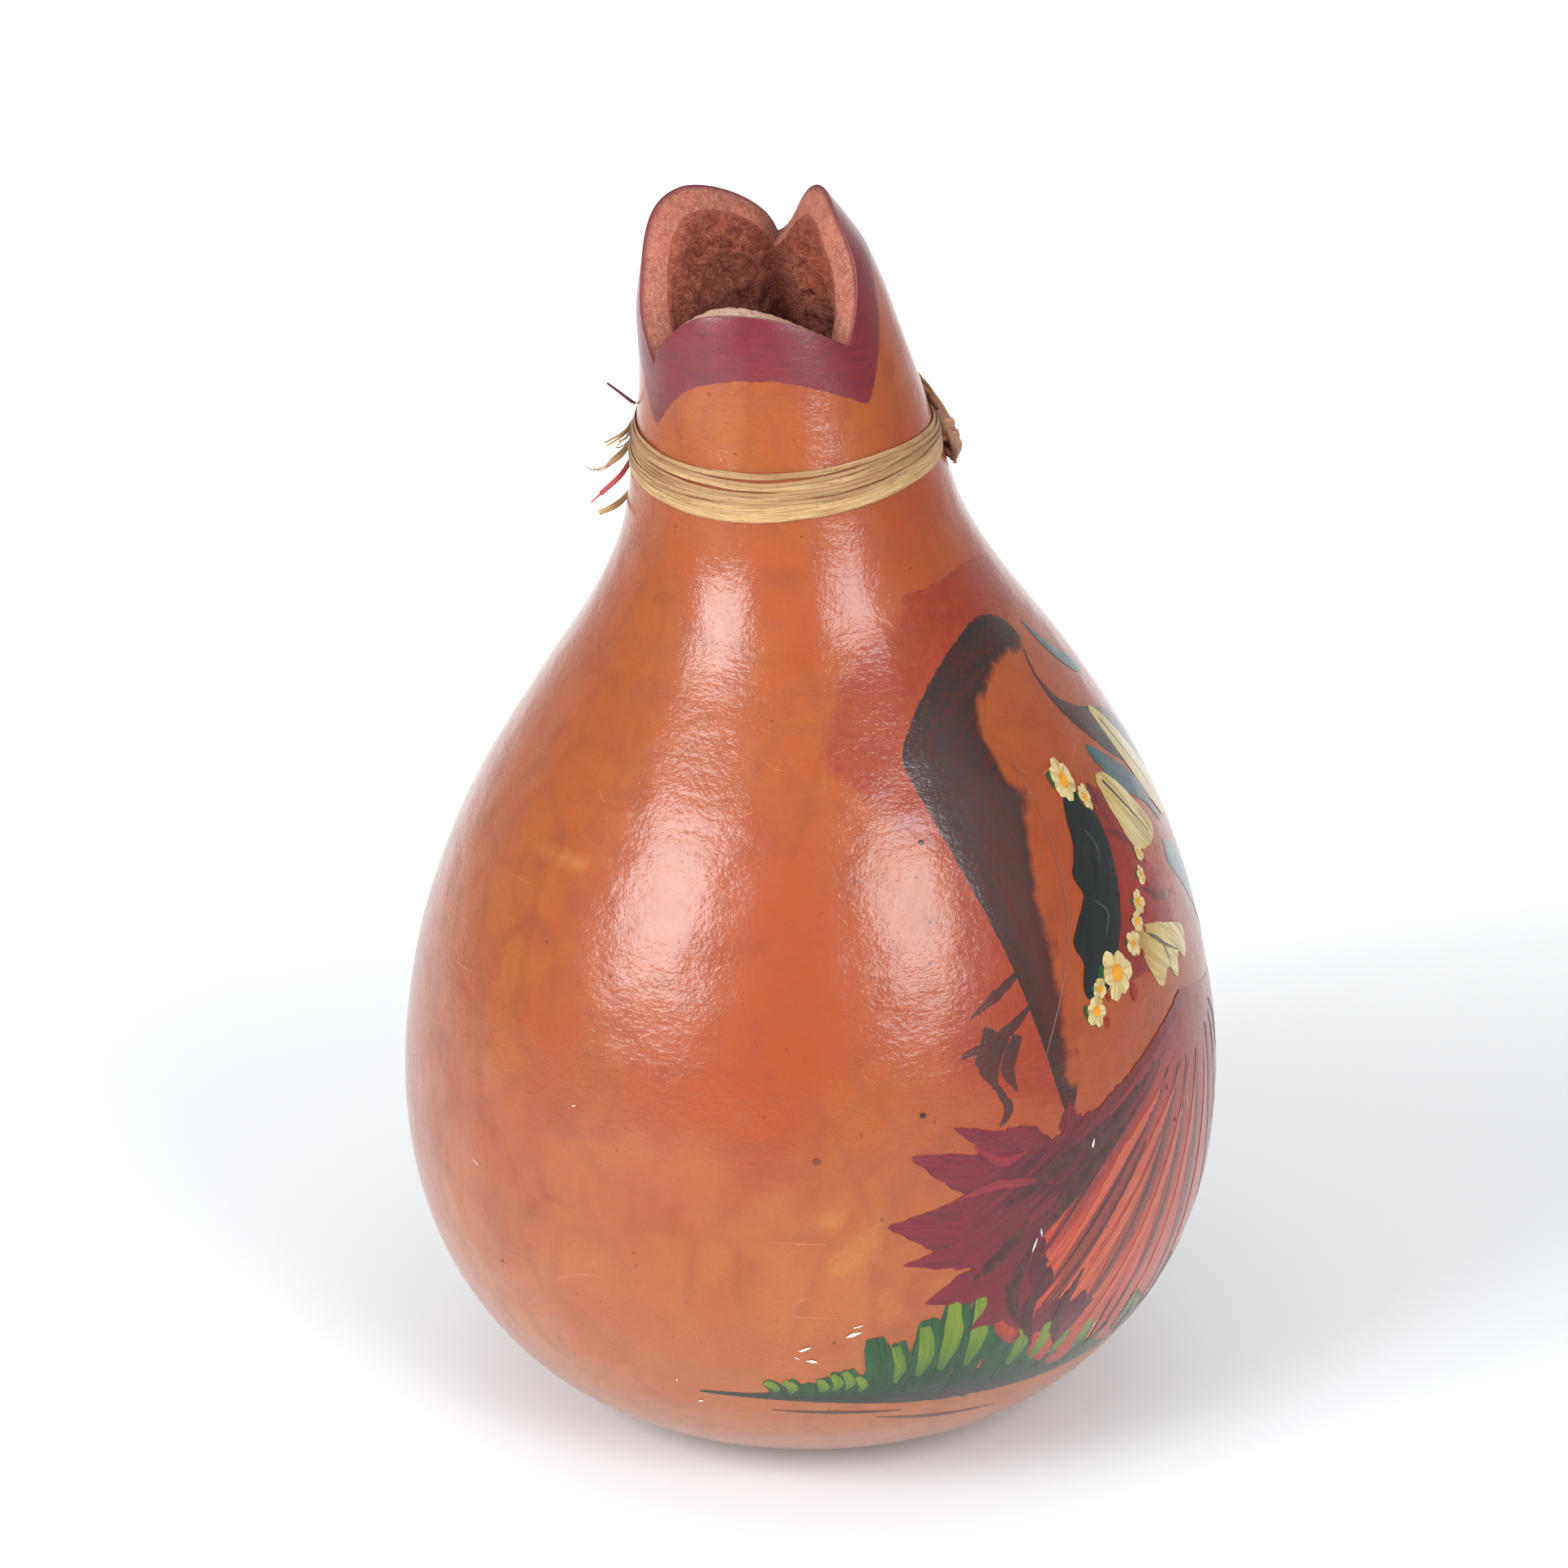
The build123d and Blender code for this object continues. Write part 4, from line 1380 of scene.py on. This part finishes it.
def paint_bough(p):
    """A dark bough, bent over at its top, with twigs and loose leaves on its left."""
    outline = (
        (69, 213), (67, 220), (58, 224), (46, 222), (35, 217), (26, 210), (20.5, 202), (21.5, 194),
        (25, 180), (28.5, 165), (31.5, 150), (34, 133), (37, 114), (39.5, 124), (40, 140), (40, 154),
        (40.5, 166), (42, 178), (46, 188), (42, 196), (42, 204), (49, 211), (60, 213),
    )
    inner = (
        (68, 211), (56, 211), (47, 208), (41.5, 201), (42, 193), (45, 187), (41.5, 178), (40, 164),
        (39.5, 146), (39, 124),
    )
    spine = ((68, 217), (46, 218), (28, 205), (27, 185), (32, 150), (36.5, 114))
    p.patch(outline, spine, (DARK_BROWN, DARK_BROWN, srgb(52, 40, 40), srgb(70, 36, 32), SMOKY_RED),
            under=SMOKY_RED, fade=(inner, 5.5), edge=(srgb(34, 28, 28), 8, 0.9), ragged=0.35)
    for twig, widths in (
        (((32, 151), (28, 147.5), (23, 143)), (1.2, 2.6, 0.5)),
        (((33, 143), (28, 138), (21, 134.5)), (1.0, 2.8, 1.2)),
        (((27, 139), (25, 132), (26, 125)), (8, 6.5, 1)),
        (((30, 137), (28, 130), (29, 124)), (3, 4, 0.6)),
        (((26, 126), (27.5, 120), (26, 116)), (1.6, 2.6, 0.8)),
    ):
        p.stroke(twig, widths, (srgb(58, 34, 34), srgb(76, 34, 30)), under=SMOKY_RED, cover=0.8,
                 ragged=0.7)
    far_bough = ((67.5, 214), (64.5, 207), (66, 199), (72, 191.5), (80, 185), (91, 178), (103, 168))
    p.stroke(far_bough, (0.7, 1.6, 4.4, 9, 14, 13, 6), (DARK_BROWN, srgb(50, 34, 34), srgb(72, 34, 32)),
             under=SMOKY_RED, ragged=0.4)
    p.stroke(((68, 186), (73, 181), (76, 173)), (0.8, 2.2, 0.8), (DARK_BROWN, SMOKY_RED), layer=1)
    crack = ((34, 130), (43, 158), (45, 178), (44, 195))
    p.stroke(crack, (0.25, 0.3, 0.25, 0.2), (srgb(120, 92, 88),), layer=2, ragged=0.9, cover=0.8)


def paint_vine(p):
    """A dark hanging vine, with red leaves beside it."""
    red_leaves = (
        (58, 180), (62, 181), (65, 172), (66, 163), (70, 157), (72, 149), (67, 141), (58, 139),
        (51, 140), (52, 150), (57, 165),
    )
    p.patch(red_leaves, ((61, 178), (61, 160), (58, 143)),
            (srgb(104, 20, 10), srgb(142, 30, 14), srgb(120, 22, 14)), under=RUST, ragged=0.8)
    creases = (
        ((60, 183), (61, 175), (63, 170)), ((59, 172), (64, 167), (66, 160)),
        ((63, 156), (68, 151), (74, 149)),
    )
    p.strokes(creases, (0.8, 2.6, 0.6), (PLUM, RUST), layer=1, ragged=0.5)
    vine = (
        (53, 184), (57, 181), (58.5, 174), (58, 166), (56, 157), (53, 149), (49.5, 142), (45.5, 138.5),
        (43, 142), (44, 148), (43, 153), (45.5, 158), (48, 162), (47, 167), (49.5, 173), (50.5, 179),
    )
    p.patch(vine, ((54, 182), (52, 165), (46, 142)), (BLACK,), under=srgb(24, 30, 30), layer=2,
            ragged=0.5)
    glints = (((53.5, 175), (55, 170), (54, 166)), ((50, 160), (52, 156), (50, 151)))
    p.strokes(glints, (0.3, 0.7, 0.2), (SLATE,), layer=3)


def paint_leaves(p):
    """Cream and blue-green leaves at the edge of the painted side."""
    for path, widths in (
        (((75, 217), (78, 209), (84, 202), (89, 199)), (1.2, 4.5, 5, 1.5)),
        (((66, 188), (71, 180), (78, 172), (82, 162)), (3, 8, 6, 2)),
        (((75, 190), (80, 180), (84, 170), (86, 160)), (1.5, 4, 3, 1)),
    ):
        p.stroke(path, widths, (TEAL, BLUE_GREY, TEAL), under=SLATE, layer=1, ragged=0.5)
    p.stroke(((77, 157), (84, 148), (91, 134), (96, 118)), (6, 11, 11, 5),
             (BLUE_GREY, srgb(96, 104, 110), SLATE), under=TEAL, ragged=0.6)
    for outline, spine in (
        (((63, 181), (67, 182), (72, 174), (76, 164), (70, 162), (65, 166)), ((65, 181), (73, 164))),
        (((76, 192), (80, 191), (87, 178), (92, 163), (86, 161), (80, 172)), ((78, 190), (88, 163))),
    ):
        p.patch(outline, spine, (CREAM, PALE_CREAM, CREAM), under=OCHRE, layer=2, ragged=0.4)
        p.stroke(spine, (1.2, 0.5), (srgb(70, 60, 40),), layer=3, ragged=0.4)
    low_leaf = (
        (57, 149), (62, 148), (69, 144), (73, 140), (71, 134), (68.5, 137), (66.5, 132), (64, 136),
        (61, 133), (58.5, 139),
    )
    p.patch(low_leaf, ((58, 148), (67, 135)), (OCHRE, CREAM, PALE_CREAM), under=OCHRE, layer=2,
            ragged=0.3)
    veins = [((60, 147), (64, 142), tip) for tip in ((69, 137), (65, 135))]
    p.strokes(veins, (0.4, 1.0, 0.3), (srgb(96, 84, 50),), layer=3)


BLOOM_HEART = (67, 127)
BLOOM_TIPS = (  # each petal's middle and tip, and its width
    ((96, 98), (112, 66), 32), ((90, 92), (104, 50), 32), ((83, 86), (92, 42), 30),
    ((77, 84), (79, 38), 28), ((48, 100), (28, 74), 15), ((68, 82), (67, 37), 28),
    ((46, 90), (27, 56), 19), ((60, 82), (53, 36), 26), ((51, 84), (36, 42), 24),
)
BLOOM_FOLDS = (
    ((57, 116), (43, 99), (32, 78)), ((59, 113), (46, 92), (32, 64)), ((62, 112), (52, 84), (39, 50)),
    ((65, 112), (59, 84), (49, 42)), ((69, 111), (66, 82), (61, 42)), ((75, 113), (76, 84), (76, 44)),
    ((78, 114), (84, 84), (89, 48)), ((80, 116), (92, 88), (102, 54)), ((52, 98), (42, 78), (33, 60)),
)


def paint_bloom(p):
    """The large coral bloom, hanging open from its heart."""
    corals = (srgb(112, 28, 24), srgb(146, 42, 26), CORAL, PALE_CORAL, CORAL)
    for k, (middle, tip, width) in enumerate(BLOOM_TIPS):
        near = (middle[0] * 0.15 + tip[0] * 0.85, middle[1] * 0.15 + tip[1] * 0.85)
        p.stroke((BLOOM_HEART, middle, near, tip), (3, width * 0.85, width, width * 0.5), corals,
                 under=srgb(136, 36, 26), layer=k // 3, edge=(srgb(112, 26, 26), 2.4, 0.8), ragged=0.8)
    for k, fold in enumerate(BLOOM_FOLDS):
        p.stroke(fold, (1.2, 4.5 + 1.5 * (k % 3), 0.8), (PLUM, MAROON, srgb(104, 24, 24)),
                 under=srgb(128, 34, 26), cover=0.62, layer=4, ragged=1.2)
        p.stroke(fold, (0.5, 1.3, 0.4), (PLUM, srgb(60, 12, 18)), under=MAROON, cover=0.8, layer=5,
                 ragged=0.7)
        light = [(a + 4, h - 1.5) for a, h in fold]
        p.stroke(light, (0.4, 3.2, 0.8), (srgb(158, 52, 32), PALE_CORAL), under=srgb(196, 84, 54),
                 cover=0.6, layer=5, ragged=0.9)


RUFFLE_LEAVES = (  # foot, tip and width
    ((40, 108), (37.5, 117.5), 7), ((34, 105), (27, 115), 7), ((34, 102), (19, 118), 9),
    ((32, 98), (13, 112), 10), ((33, 90), (9.5, 94), 17), ((30, 84), (12, 83), 10),
    ((33, 80), (15, 71), 11), ((34, 73), (22, 60.5), 11), ((37, 66), (29, 53), 9),
    ((42, 60), (38, 46), 9),
)
RUFFLE_HEART = (
    (66, 129), (55, 122), (45, 115), (36, 110), (29, 108), (23, 103), (20, 95), (19, 87), (22, 78),
    (24, 69), (27, 60), (31, 57), (32, 64), (30, 75), (33, 85), (39, 95), (47, 105), (56, 115),
    (64, 124),
)
RUFFLE_SHADES = (
    ((56, 118), (44, 106), (34, 92)), ((50, 108), (40, 97), (32, 84)), ((31, 84), (28, 70), (30, 58)),
    ((44, 109), (34, 101), (26, 95)), ((30, 90), (26, 82), (22, 76)), ((34, 74), (31, 62), (33, 50)),
    ((40, 70), (37, 58), (38, 46)),
)
RUFFLE_LIGHTS = (
    ((64, 124), (54, 117), (44, 110)), ((34, 98), (26, 101), (19, 99)),
    ((30, 108), (26, 107), (22, 112)),
)


def paint_ruffle(p):
    """The maroon leaves that spread from behind the bloom."""
    for k, ((x, y), tip, width) in enumerate(RUFFLE_LEAVES):
        bend = ((x + tip[0]) / 2 + 1.5 * (k % 3 - 1), (y + tip[1]) / 2 + 1.5 * (k % 2) - 1)
        p.stroke(((x, y), bend, tip), (width * 0.8, width, 0.3), (PLUM, MAROON, srgb(112, 18, 34)),
                 under=DEEP_MAROON, layer=3 + k % 2, ragged=1.1)
    p.patch(RUFFLE_HEART, ((66, 126), (20, 76)), (MAROON, srgb(82, 10, 22), PLUM, MAROON),
            under=srgb(112, 20, 30), layer=5, edge=(srgb(104, 16, 30), 2.5, 0.6), ragged=1.4)
    p.strokes(RUFFLE_SHADES, (0.6, 4, 0.8), (srgb(38, 8, 14),), under=PLUM, layer=6, cover=0.7,
              ragged=1.1)
    p.strokes(RUFFLE_LIGHTS, (0.5, 2.4, 0.4), (srgb(122, 26, 38),), under=MAROON, layer=6, cover=0.7,
              ragged=0.8)


GRASS = (  # base, tip, width
    ((-5, 42), (-6.5, 47.5), 4.5), ((-3, 42), (-3.5, 48), 5), ((-1, 42), (-1, 47), 5),
    ((1, 42), (1.5, 49), 5), ((3, 42), (3.5, 51), 5), ((5, 42), (5, 52), 5),
    ((7, 42), (7, 49.5), 4.5), ((9.5, 41), (8.5, 62), 8), ((12, 41), (12, 60), 6),
    ((15, 41), (16, 66), 8), ((18, 40), (20, 73), 9.5), ((22, 40), (24, 73), 9),
    ((26, 40), (28, 64), 8), ((29, 39), (32, 61), 8), ((33, 39), (36, 58), 8),
    ((37, 39), (40, 55), 7), ((42, 39), (45, 51), 7), ((47, 38), (50, 48), 6),
)
FAR_TUFTS = 10  # on the side away from the front
NEAR_GROUND = ((-17, 41), (-8, 41.5), (0, 42.5), (10, 42), (22, 41), (36, 39), (50, 37), (64, 34))
FAR_GROUND = ((56, 38), (72, 37), (90, 38), (108, 37), (122, 35))
GROUND = (DEEP_GREEN, EARTH, DEEP_GREEN)
GROUND_LINES = (((10, 32), (20, 29), (32, 27)), ((-6, 36), (4, 35), (14, 34)))


def paint_grass(p):
    """Tufts of grass on a dark strip of ground."""
    blade = (DEEP_GREEN, GREEN, GREEN)
    p.stroke(NEAR_GROUND, (0.8, 2.2, 5.5, 8, 10, 9, 7, 2), GROUND, under=SOIL, ragged=1.2)
    for k, (base, tip, width) in enumerate(GRASS):
        middle = (base[0] * 0.45 + tip[0] * 0.55 + 0.5, base[1] * 0.45 + tip[1] * 0.55)
        p.stroke((base, middle, tip), (width * 0.6, width, width * 0.6), blade, under=DEEP_GREEN,
                 layer=1 + k % 2, ragged=0.7)
        low = (base[0] * 0.75 + tip[0] * 0.25, base[1] * 0.75 + tip[1] * 0.25)
        top = (tip[0] * 0.93 + base[0] * 0.07 - 0.5, tip[1] * 0.93 + base[1] * 0.07)
        if k % 5 != 2:
            p.stroke((low, middle, top), (width * 0.2, width * 0.55, width * 0.35),
                     (srgb(50, 90, 30), YELLOW_GREEN, YELLOW_GREEN), under=srgb(60, 96, 30), layer=3,
                     ragged=0.5)
    random.seed(12)
    for k in range(FAR_TUFTS):
        foot = (54 + 6.2 * k + random.uniform(-1, 1), 38.5)
        tip = (foot[0] + random.uniform(-3, 4), foot[1] + random.uniform(6, 15))
        middle = ((foot[0] + tip[0]) / 2 + 0.6, (foot[1] + tip[1]) / 2)
        p.stroke((foot, middle, tip), (3.5, 6, 3), blade, under=DEEP_GREEN, layer=5, ragged=0.6)
        p.stroke((middle, tip), (2.5, 1.2), (YELLOW_GREEN, YELLOW_GREEN), under=GREEN, layer=6,
                 ragged=0.4)
    p.stroke(FAR_GROUND, (6, 7, 6, 5, 1), GROUND, under=SOIL, layer=5, ragged=1.2)
    p.strokes(GROUND_LINES, (0.3, 1.3, 0.3), (srgb(60, 30, 22),), under=SMOKY_RED, cover=0.7,
              ragged=0.4)


BLOSSOMS = (  # middle, size
    ((54, 186), 5.4), ((57.5, 180.5), 3.0), ((50.5, 142.5), 6.0), ((44.5, 136.5), 3.6),
    ((46, 141), 2.6), ((56, 146.5), 3.2), ((58.5, 150.5), 2.6), ((60.5, 154), 3.0),
    ((64, 158.5), 2.4), ((66, 163), 2.2),
)


def paint_blossoms(p):
    """Small cream daisies with yellow middles, in a chain down the vine."""
    random.seed(31)
    for (azimuth, height), size in BLOSSOMS:
        for side, far, colour, under in ((-1.2, 1.0, GREEN, DEEP_GREEN), (0.9, -1.25, RUST, BRICK)):
            x, y = (azimuth + side * size / DEGREE * 0.9, height + far * size * 0.55)
            dab = ((x, y), (x + 0.3, y - size * 0.35), (x + 0.2, y - size * 0.7))
            p.stroke(dab, (size * 0.3, size * 0.55, size * 0.25), (colour,), under=under, layer=3,
                     ragged=0.15)
        first = random.uniform(0, FULL_TURN)
        for k in range(6):
            turn = math.radians(first + 60 * k + random.uniform(-12, 12))
            reach = size * random.uniform(0.85, 1.1)
            half, tip = (
                (azimuth + math.sin(turn) * far / DEGREE, height + math.cos(turn) * far)
                for far in (reach * 0.6, reach)
            )
            p.stroke(((azimuth, height), half, tip), (size * 0.4, size * 0.85, size * 0.45),
                     (CREAM, PALE_CREAM), under=OCHRE, layer=4 + k % 2, ragged=0.15)
        p.dot((azimuth, height), size * 0.36, 1, YELLOW, under=srgb(190, 100, 14))


CHIPS = (  # middle, length, width, tilt in degrees
    ((6.2, 66), 2.6, 0.5, 15), ((5.6, 63.5), 4.2, 1.2, 20), ((-1, 59), 3.4, 1.0, 25),
    ((-2, 56), 1.6, 0.6, -30), ((0, 55), 3.0, 1.0, -10), ((-17, 37), 1.8, 0.7, 20),
    ((-20, 44), 1.2, 0.4, 60), ((31, 82), 4, 0.5, 70), ((32, 85), 2.4, 0.4, 100),
    ((41, 104), 3.2, 0.8, 75), ((46, 47), 1.6, 0.7, 60), ((64, 100), 3, 0.4, 80),
    ((-34, 118), 1.1, 0.25, 20), ((-52, 92), 2.4, 0.3, 160),
)
PIN_HOLES = (  # azimuth, height, size
    (20, 183, 0.75), (15, 122, 0.85), (0.5, 112, 1.0), (3, 61, 0.35), (-31, 152, 0.5),
    (18, 176, 0.35), (14, 160, 0.3), (18, 157, 0.4), (16, 151, 0.3), (11, 165, 0.3),
    (19, 166, 0.35), (-48, 66, 0.5),
)
SCRATCHES = 26


def mark_wear(p):
    """White chips, pin holes and a few scratches in the skin."""
    for (azimuth, height), length, width, tilt in CHIPS:
        turn = math.radians(tilt)
        x, y = (math.cos(turn) * length / 2 / DEGREE, math.sin(turn) * length / 2)
        chip = ((azimuth - x, height - y), (azimuth, height), (azimuth + x, height + y))
        p.stroke(chip, (0.2, 0.8 * width, 0.15), (WHITE,), under=srgb(190, 170, 150), layer=6,
                 ragged=0.25)
    for azimuth, height, size in PIN_HOLES:
        p.dot((azimuth, height), size, 0.8, srgb(24, 8, 6), under=srgb(60, 22, 14),
              cover=0.85 if 0.6 < size < 1 else 0.5)
    random.seed(77)
    for _ in range(SCRATCHES):
        x, y = random.uniform(-80, 60), random.uniform(50, 235)
        tilt, length = random.uniform(-0.6, 0.6), random.uniform(4, 16)
        bend = (x + length / 3, y + length * tilt * 0.8)
        scratch = ((x, y), bend, (x + length * 0.6, y + length * tilt))
        p.stroke(scratch, (0.1, 0.22, 0.1), (srgb(206, 130, 96),), under=srgb(170, 90, 60), cover=0.5,
                 layer=-1, ragged=0.4)


PICTURE = {
    "painted_wash": paint_wash,
    "painted_bough": paint_bough,
    "painted_vine": paint_vine,
    "painted_leaves": paint_leaves,
    "painted_bloom": paint_bloom,
    "painted_ruffle": paint_ruffle,
    "painted_grass": paint_grass,
    "painted_blossoms": paint_blossoms,
    "surface_wear": mark_wear,
}


gourd = make_gourd()
dress_skin(gourd)
dress_mouth(gourd)
SKIN_TREE = tree_of_mesh(gourd.data)
PAINT = paint_material()
make_lip()
make_tie()
make_knot()
for title, paint_on in PICTURE.items():
    painting = Painting(title)
    paint_on(painting)
    painting.done()

# ======== camera, stage and light ========
CAMERA_LIFT = 22  # degrees above the horizon
CAMERA_DISTANCE = 1200
CAMERA_SIDE = -7  # of the point looked at, from the gourd's middle
LOOK_UP = 0.511  # height of that point, as a share of the gourd's height
SENSOR = 36
FOCAL_SHARE = 2.92  # focal length over the sensor's width
SOFTBOXES = {  # azimuth, lift, width, height, watts
    "left_softbox": (-48, 24, 0.54, 0.6, 14),
    "right_softbox": (32, 25, 0.44, 0.62, 10),
    "overhead": (0, 84, 1.1, 1.1, 3.5),
}
SOFTBOX_DISTANCE = 1.15
WORLD_LIGHT = 0.36
COOL_WHITE = (0.93, 1.0, 1.05)
FLOOR_HALF, FLOOR_BEND, BEND_STEPS = 3000, 600, 12
BACKDROP, BACKDROP_HEIGHT = 1500, 2600  # how far behind the gourd's middle it is, and its top


def aim(piece, place, target):
    piece.location = place
    piece.rotation_euler = (target - place).to_track_quat("-Z", "Y").to_euler()


def from_target(target, azimuth, lift, distance):
    turn, up = math.radians(azimuth), math.radians(lift)
    flat = math.cos(up) * distance
    return target + Vector(
        (math.sin(turn) * flat, -math.cos(turn) * flat, math.sin(up) * distance)
    )


def make_camera():
    low, high = CAD_BOX
    target = Vector((CAMERA_SIDE * MM, 0, low[2] + (high[2] - low[2]) * LOOK_UP))
    lens = bpy.data.cameras.new("camera")
    lens.sensor_width = SENSOR
    lens.lens = SENSOR * FOCAL_SHARE
    camera = bpy.data.objects.new("camera", lens)
    bpy.context.scene.collection.objects.link(camera)
    aim(camera, from_target(target, 0, CAMERA_LIFT, CAMERA_DISTANCE * MM), target)
    bpy.context.scene.camera = camera
    return target


def make_lights(target):
    for name, (azimuth, lift, width, height, watts) in SOFTBOXES.items():
        lamp = bpy.data.lights.new(name, "AREA")
        lamp.shape = "RECTANGLE"
        lamp.size, lamp.size_y = width, height
        lamp.energy = watts
        lamp.color = COOL_WHITE
        box = bpy.data.objects.new(name, lamp)
        bpy.context.scene.collection.objects.link(box)
        aim(box, from_target(target, azimuth, lift, SOFTBOX_DISTANCE), target)
    world = bpy.data.worlds.new("studio")
    world.use_nodes = True
    background = world.node_tree.nodes["Background"]
    background.inputs["Color"].default_value = (1, 1, 1, 1)
    background.inputs["Strength"].default_value = WORLD_LIGHT
    bpy.context.scene.world = world
    bpy.context.scene.view_settings.view_transform = "Standard"


def make_stage():
    """A pale floor that curves up into the backdrop, and glows behind the object."""
    profile = [(-FLOOR_HALF, 0), (BACKDROP - FLOOR_BEND, 0)]
    for k in range(1, BEND_STEPS + 1):
        turn = math.radians(90 * k / BEND_STEPS)
        along, up = FLOOR_BEND * math.sin(turn), FLOOR_BEND * math.cos(turn)
        profile.append((BACKDROP - FLOOR_BEND + along, FLOOR_BEND - up))
    profile.append((BACKDROP, BACKDROP_HEIGHT))
    points = [Vector((x, y, z)) for y, z in profile for x in (-FLOOR_HALF, FLOOR_HALF)]
    faces = [(2 * k, 2 * k + 1, 2 * k + 3, 2 * k + 2) for k in range(len(profile) - 1)]
    stage = new_piece("backdrop", points, faces, None)
    s = Shader("studio_white")
    place = s.node("TexCoord").outputs["Object"]
    where = s.node("SeparateXYZ", {"Vector": place}).outputs
    aside = s.ramp(s.math("ABSOLUTE", where["X"]), 0.5, 1.0, 1.0, 0.2)
    s.set(
        Base_Color=(0.78, 0.78, 0.78),
        Roughness=0.7,
        Emission_Color=(1.0, 1.0, 1.0),
        Emission_Strength=s.times(s.ramp(where["Y"], 0.0, 0.7, 0.04, 0.6), aside),
    )
    stage.data.materials.append(s.material)
    stage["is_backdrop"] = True


make_lights(make_camera())
make_stage()

boxes = {"cad": CAD_BOX, "visual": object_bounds()}
{name: [list(corner) for corner in box] for name, box in boxes.items()}
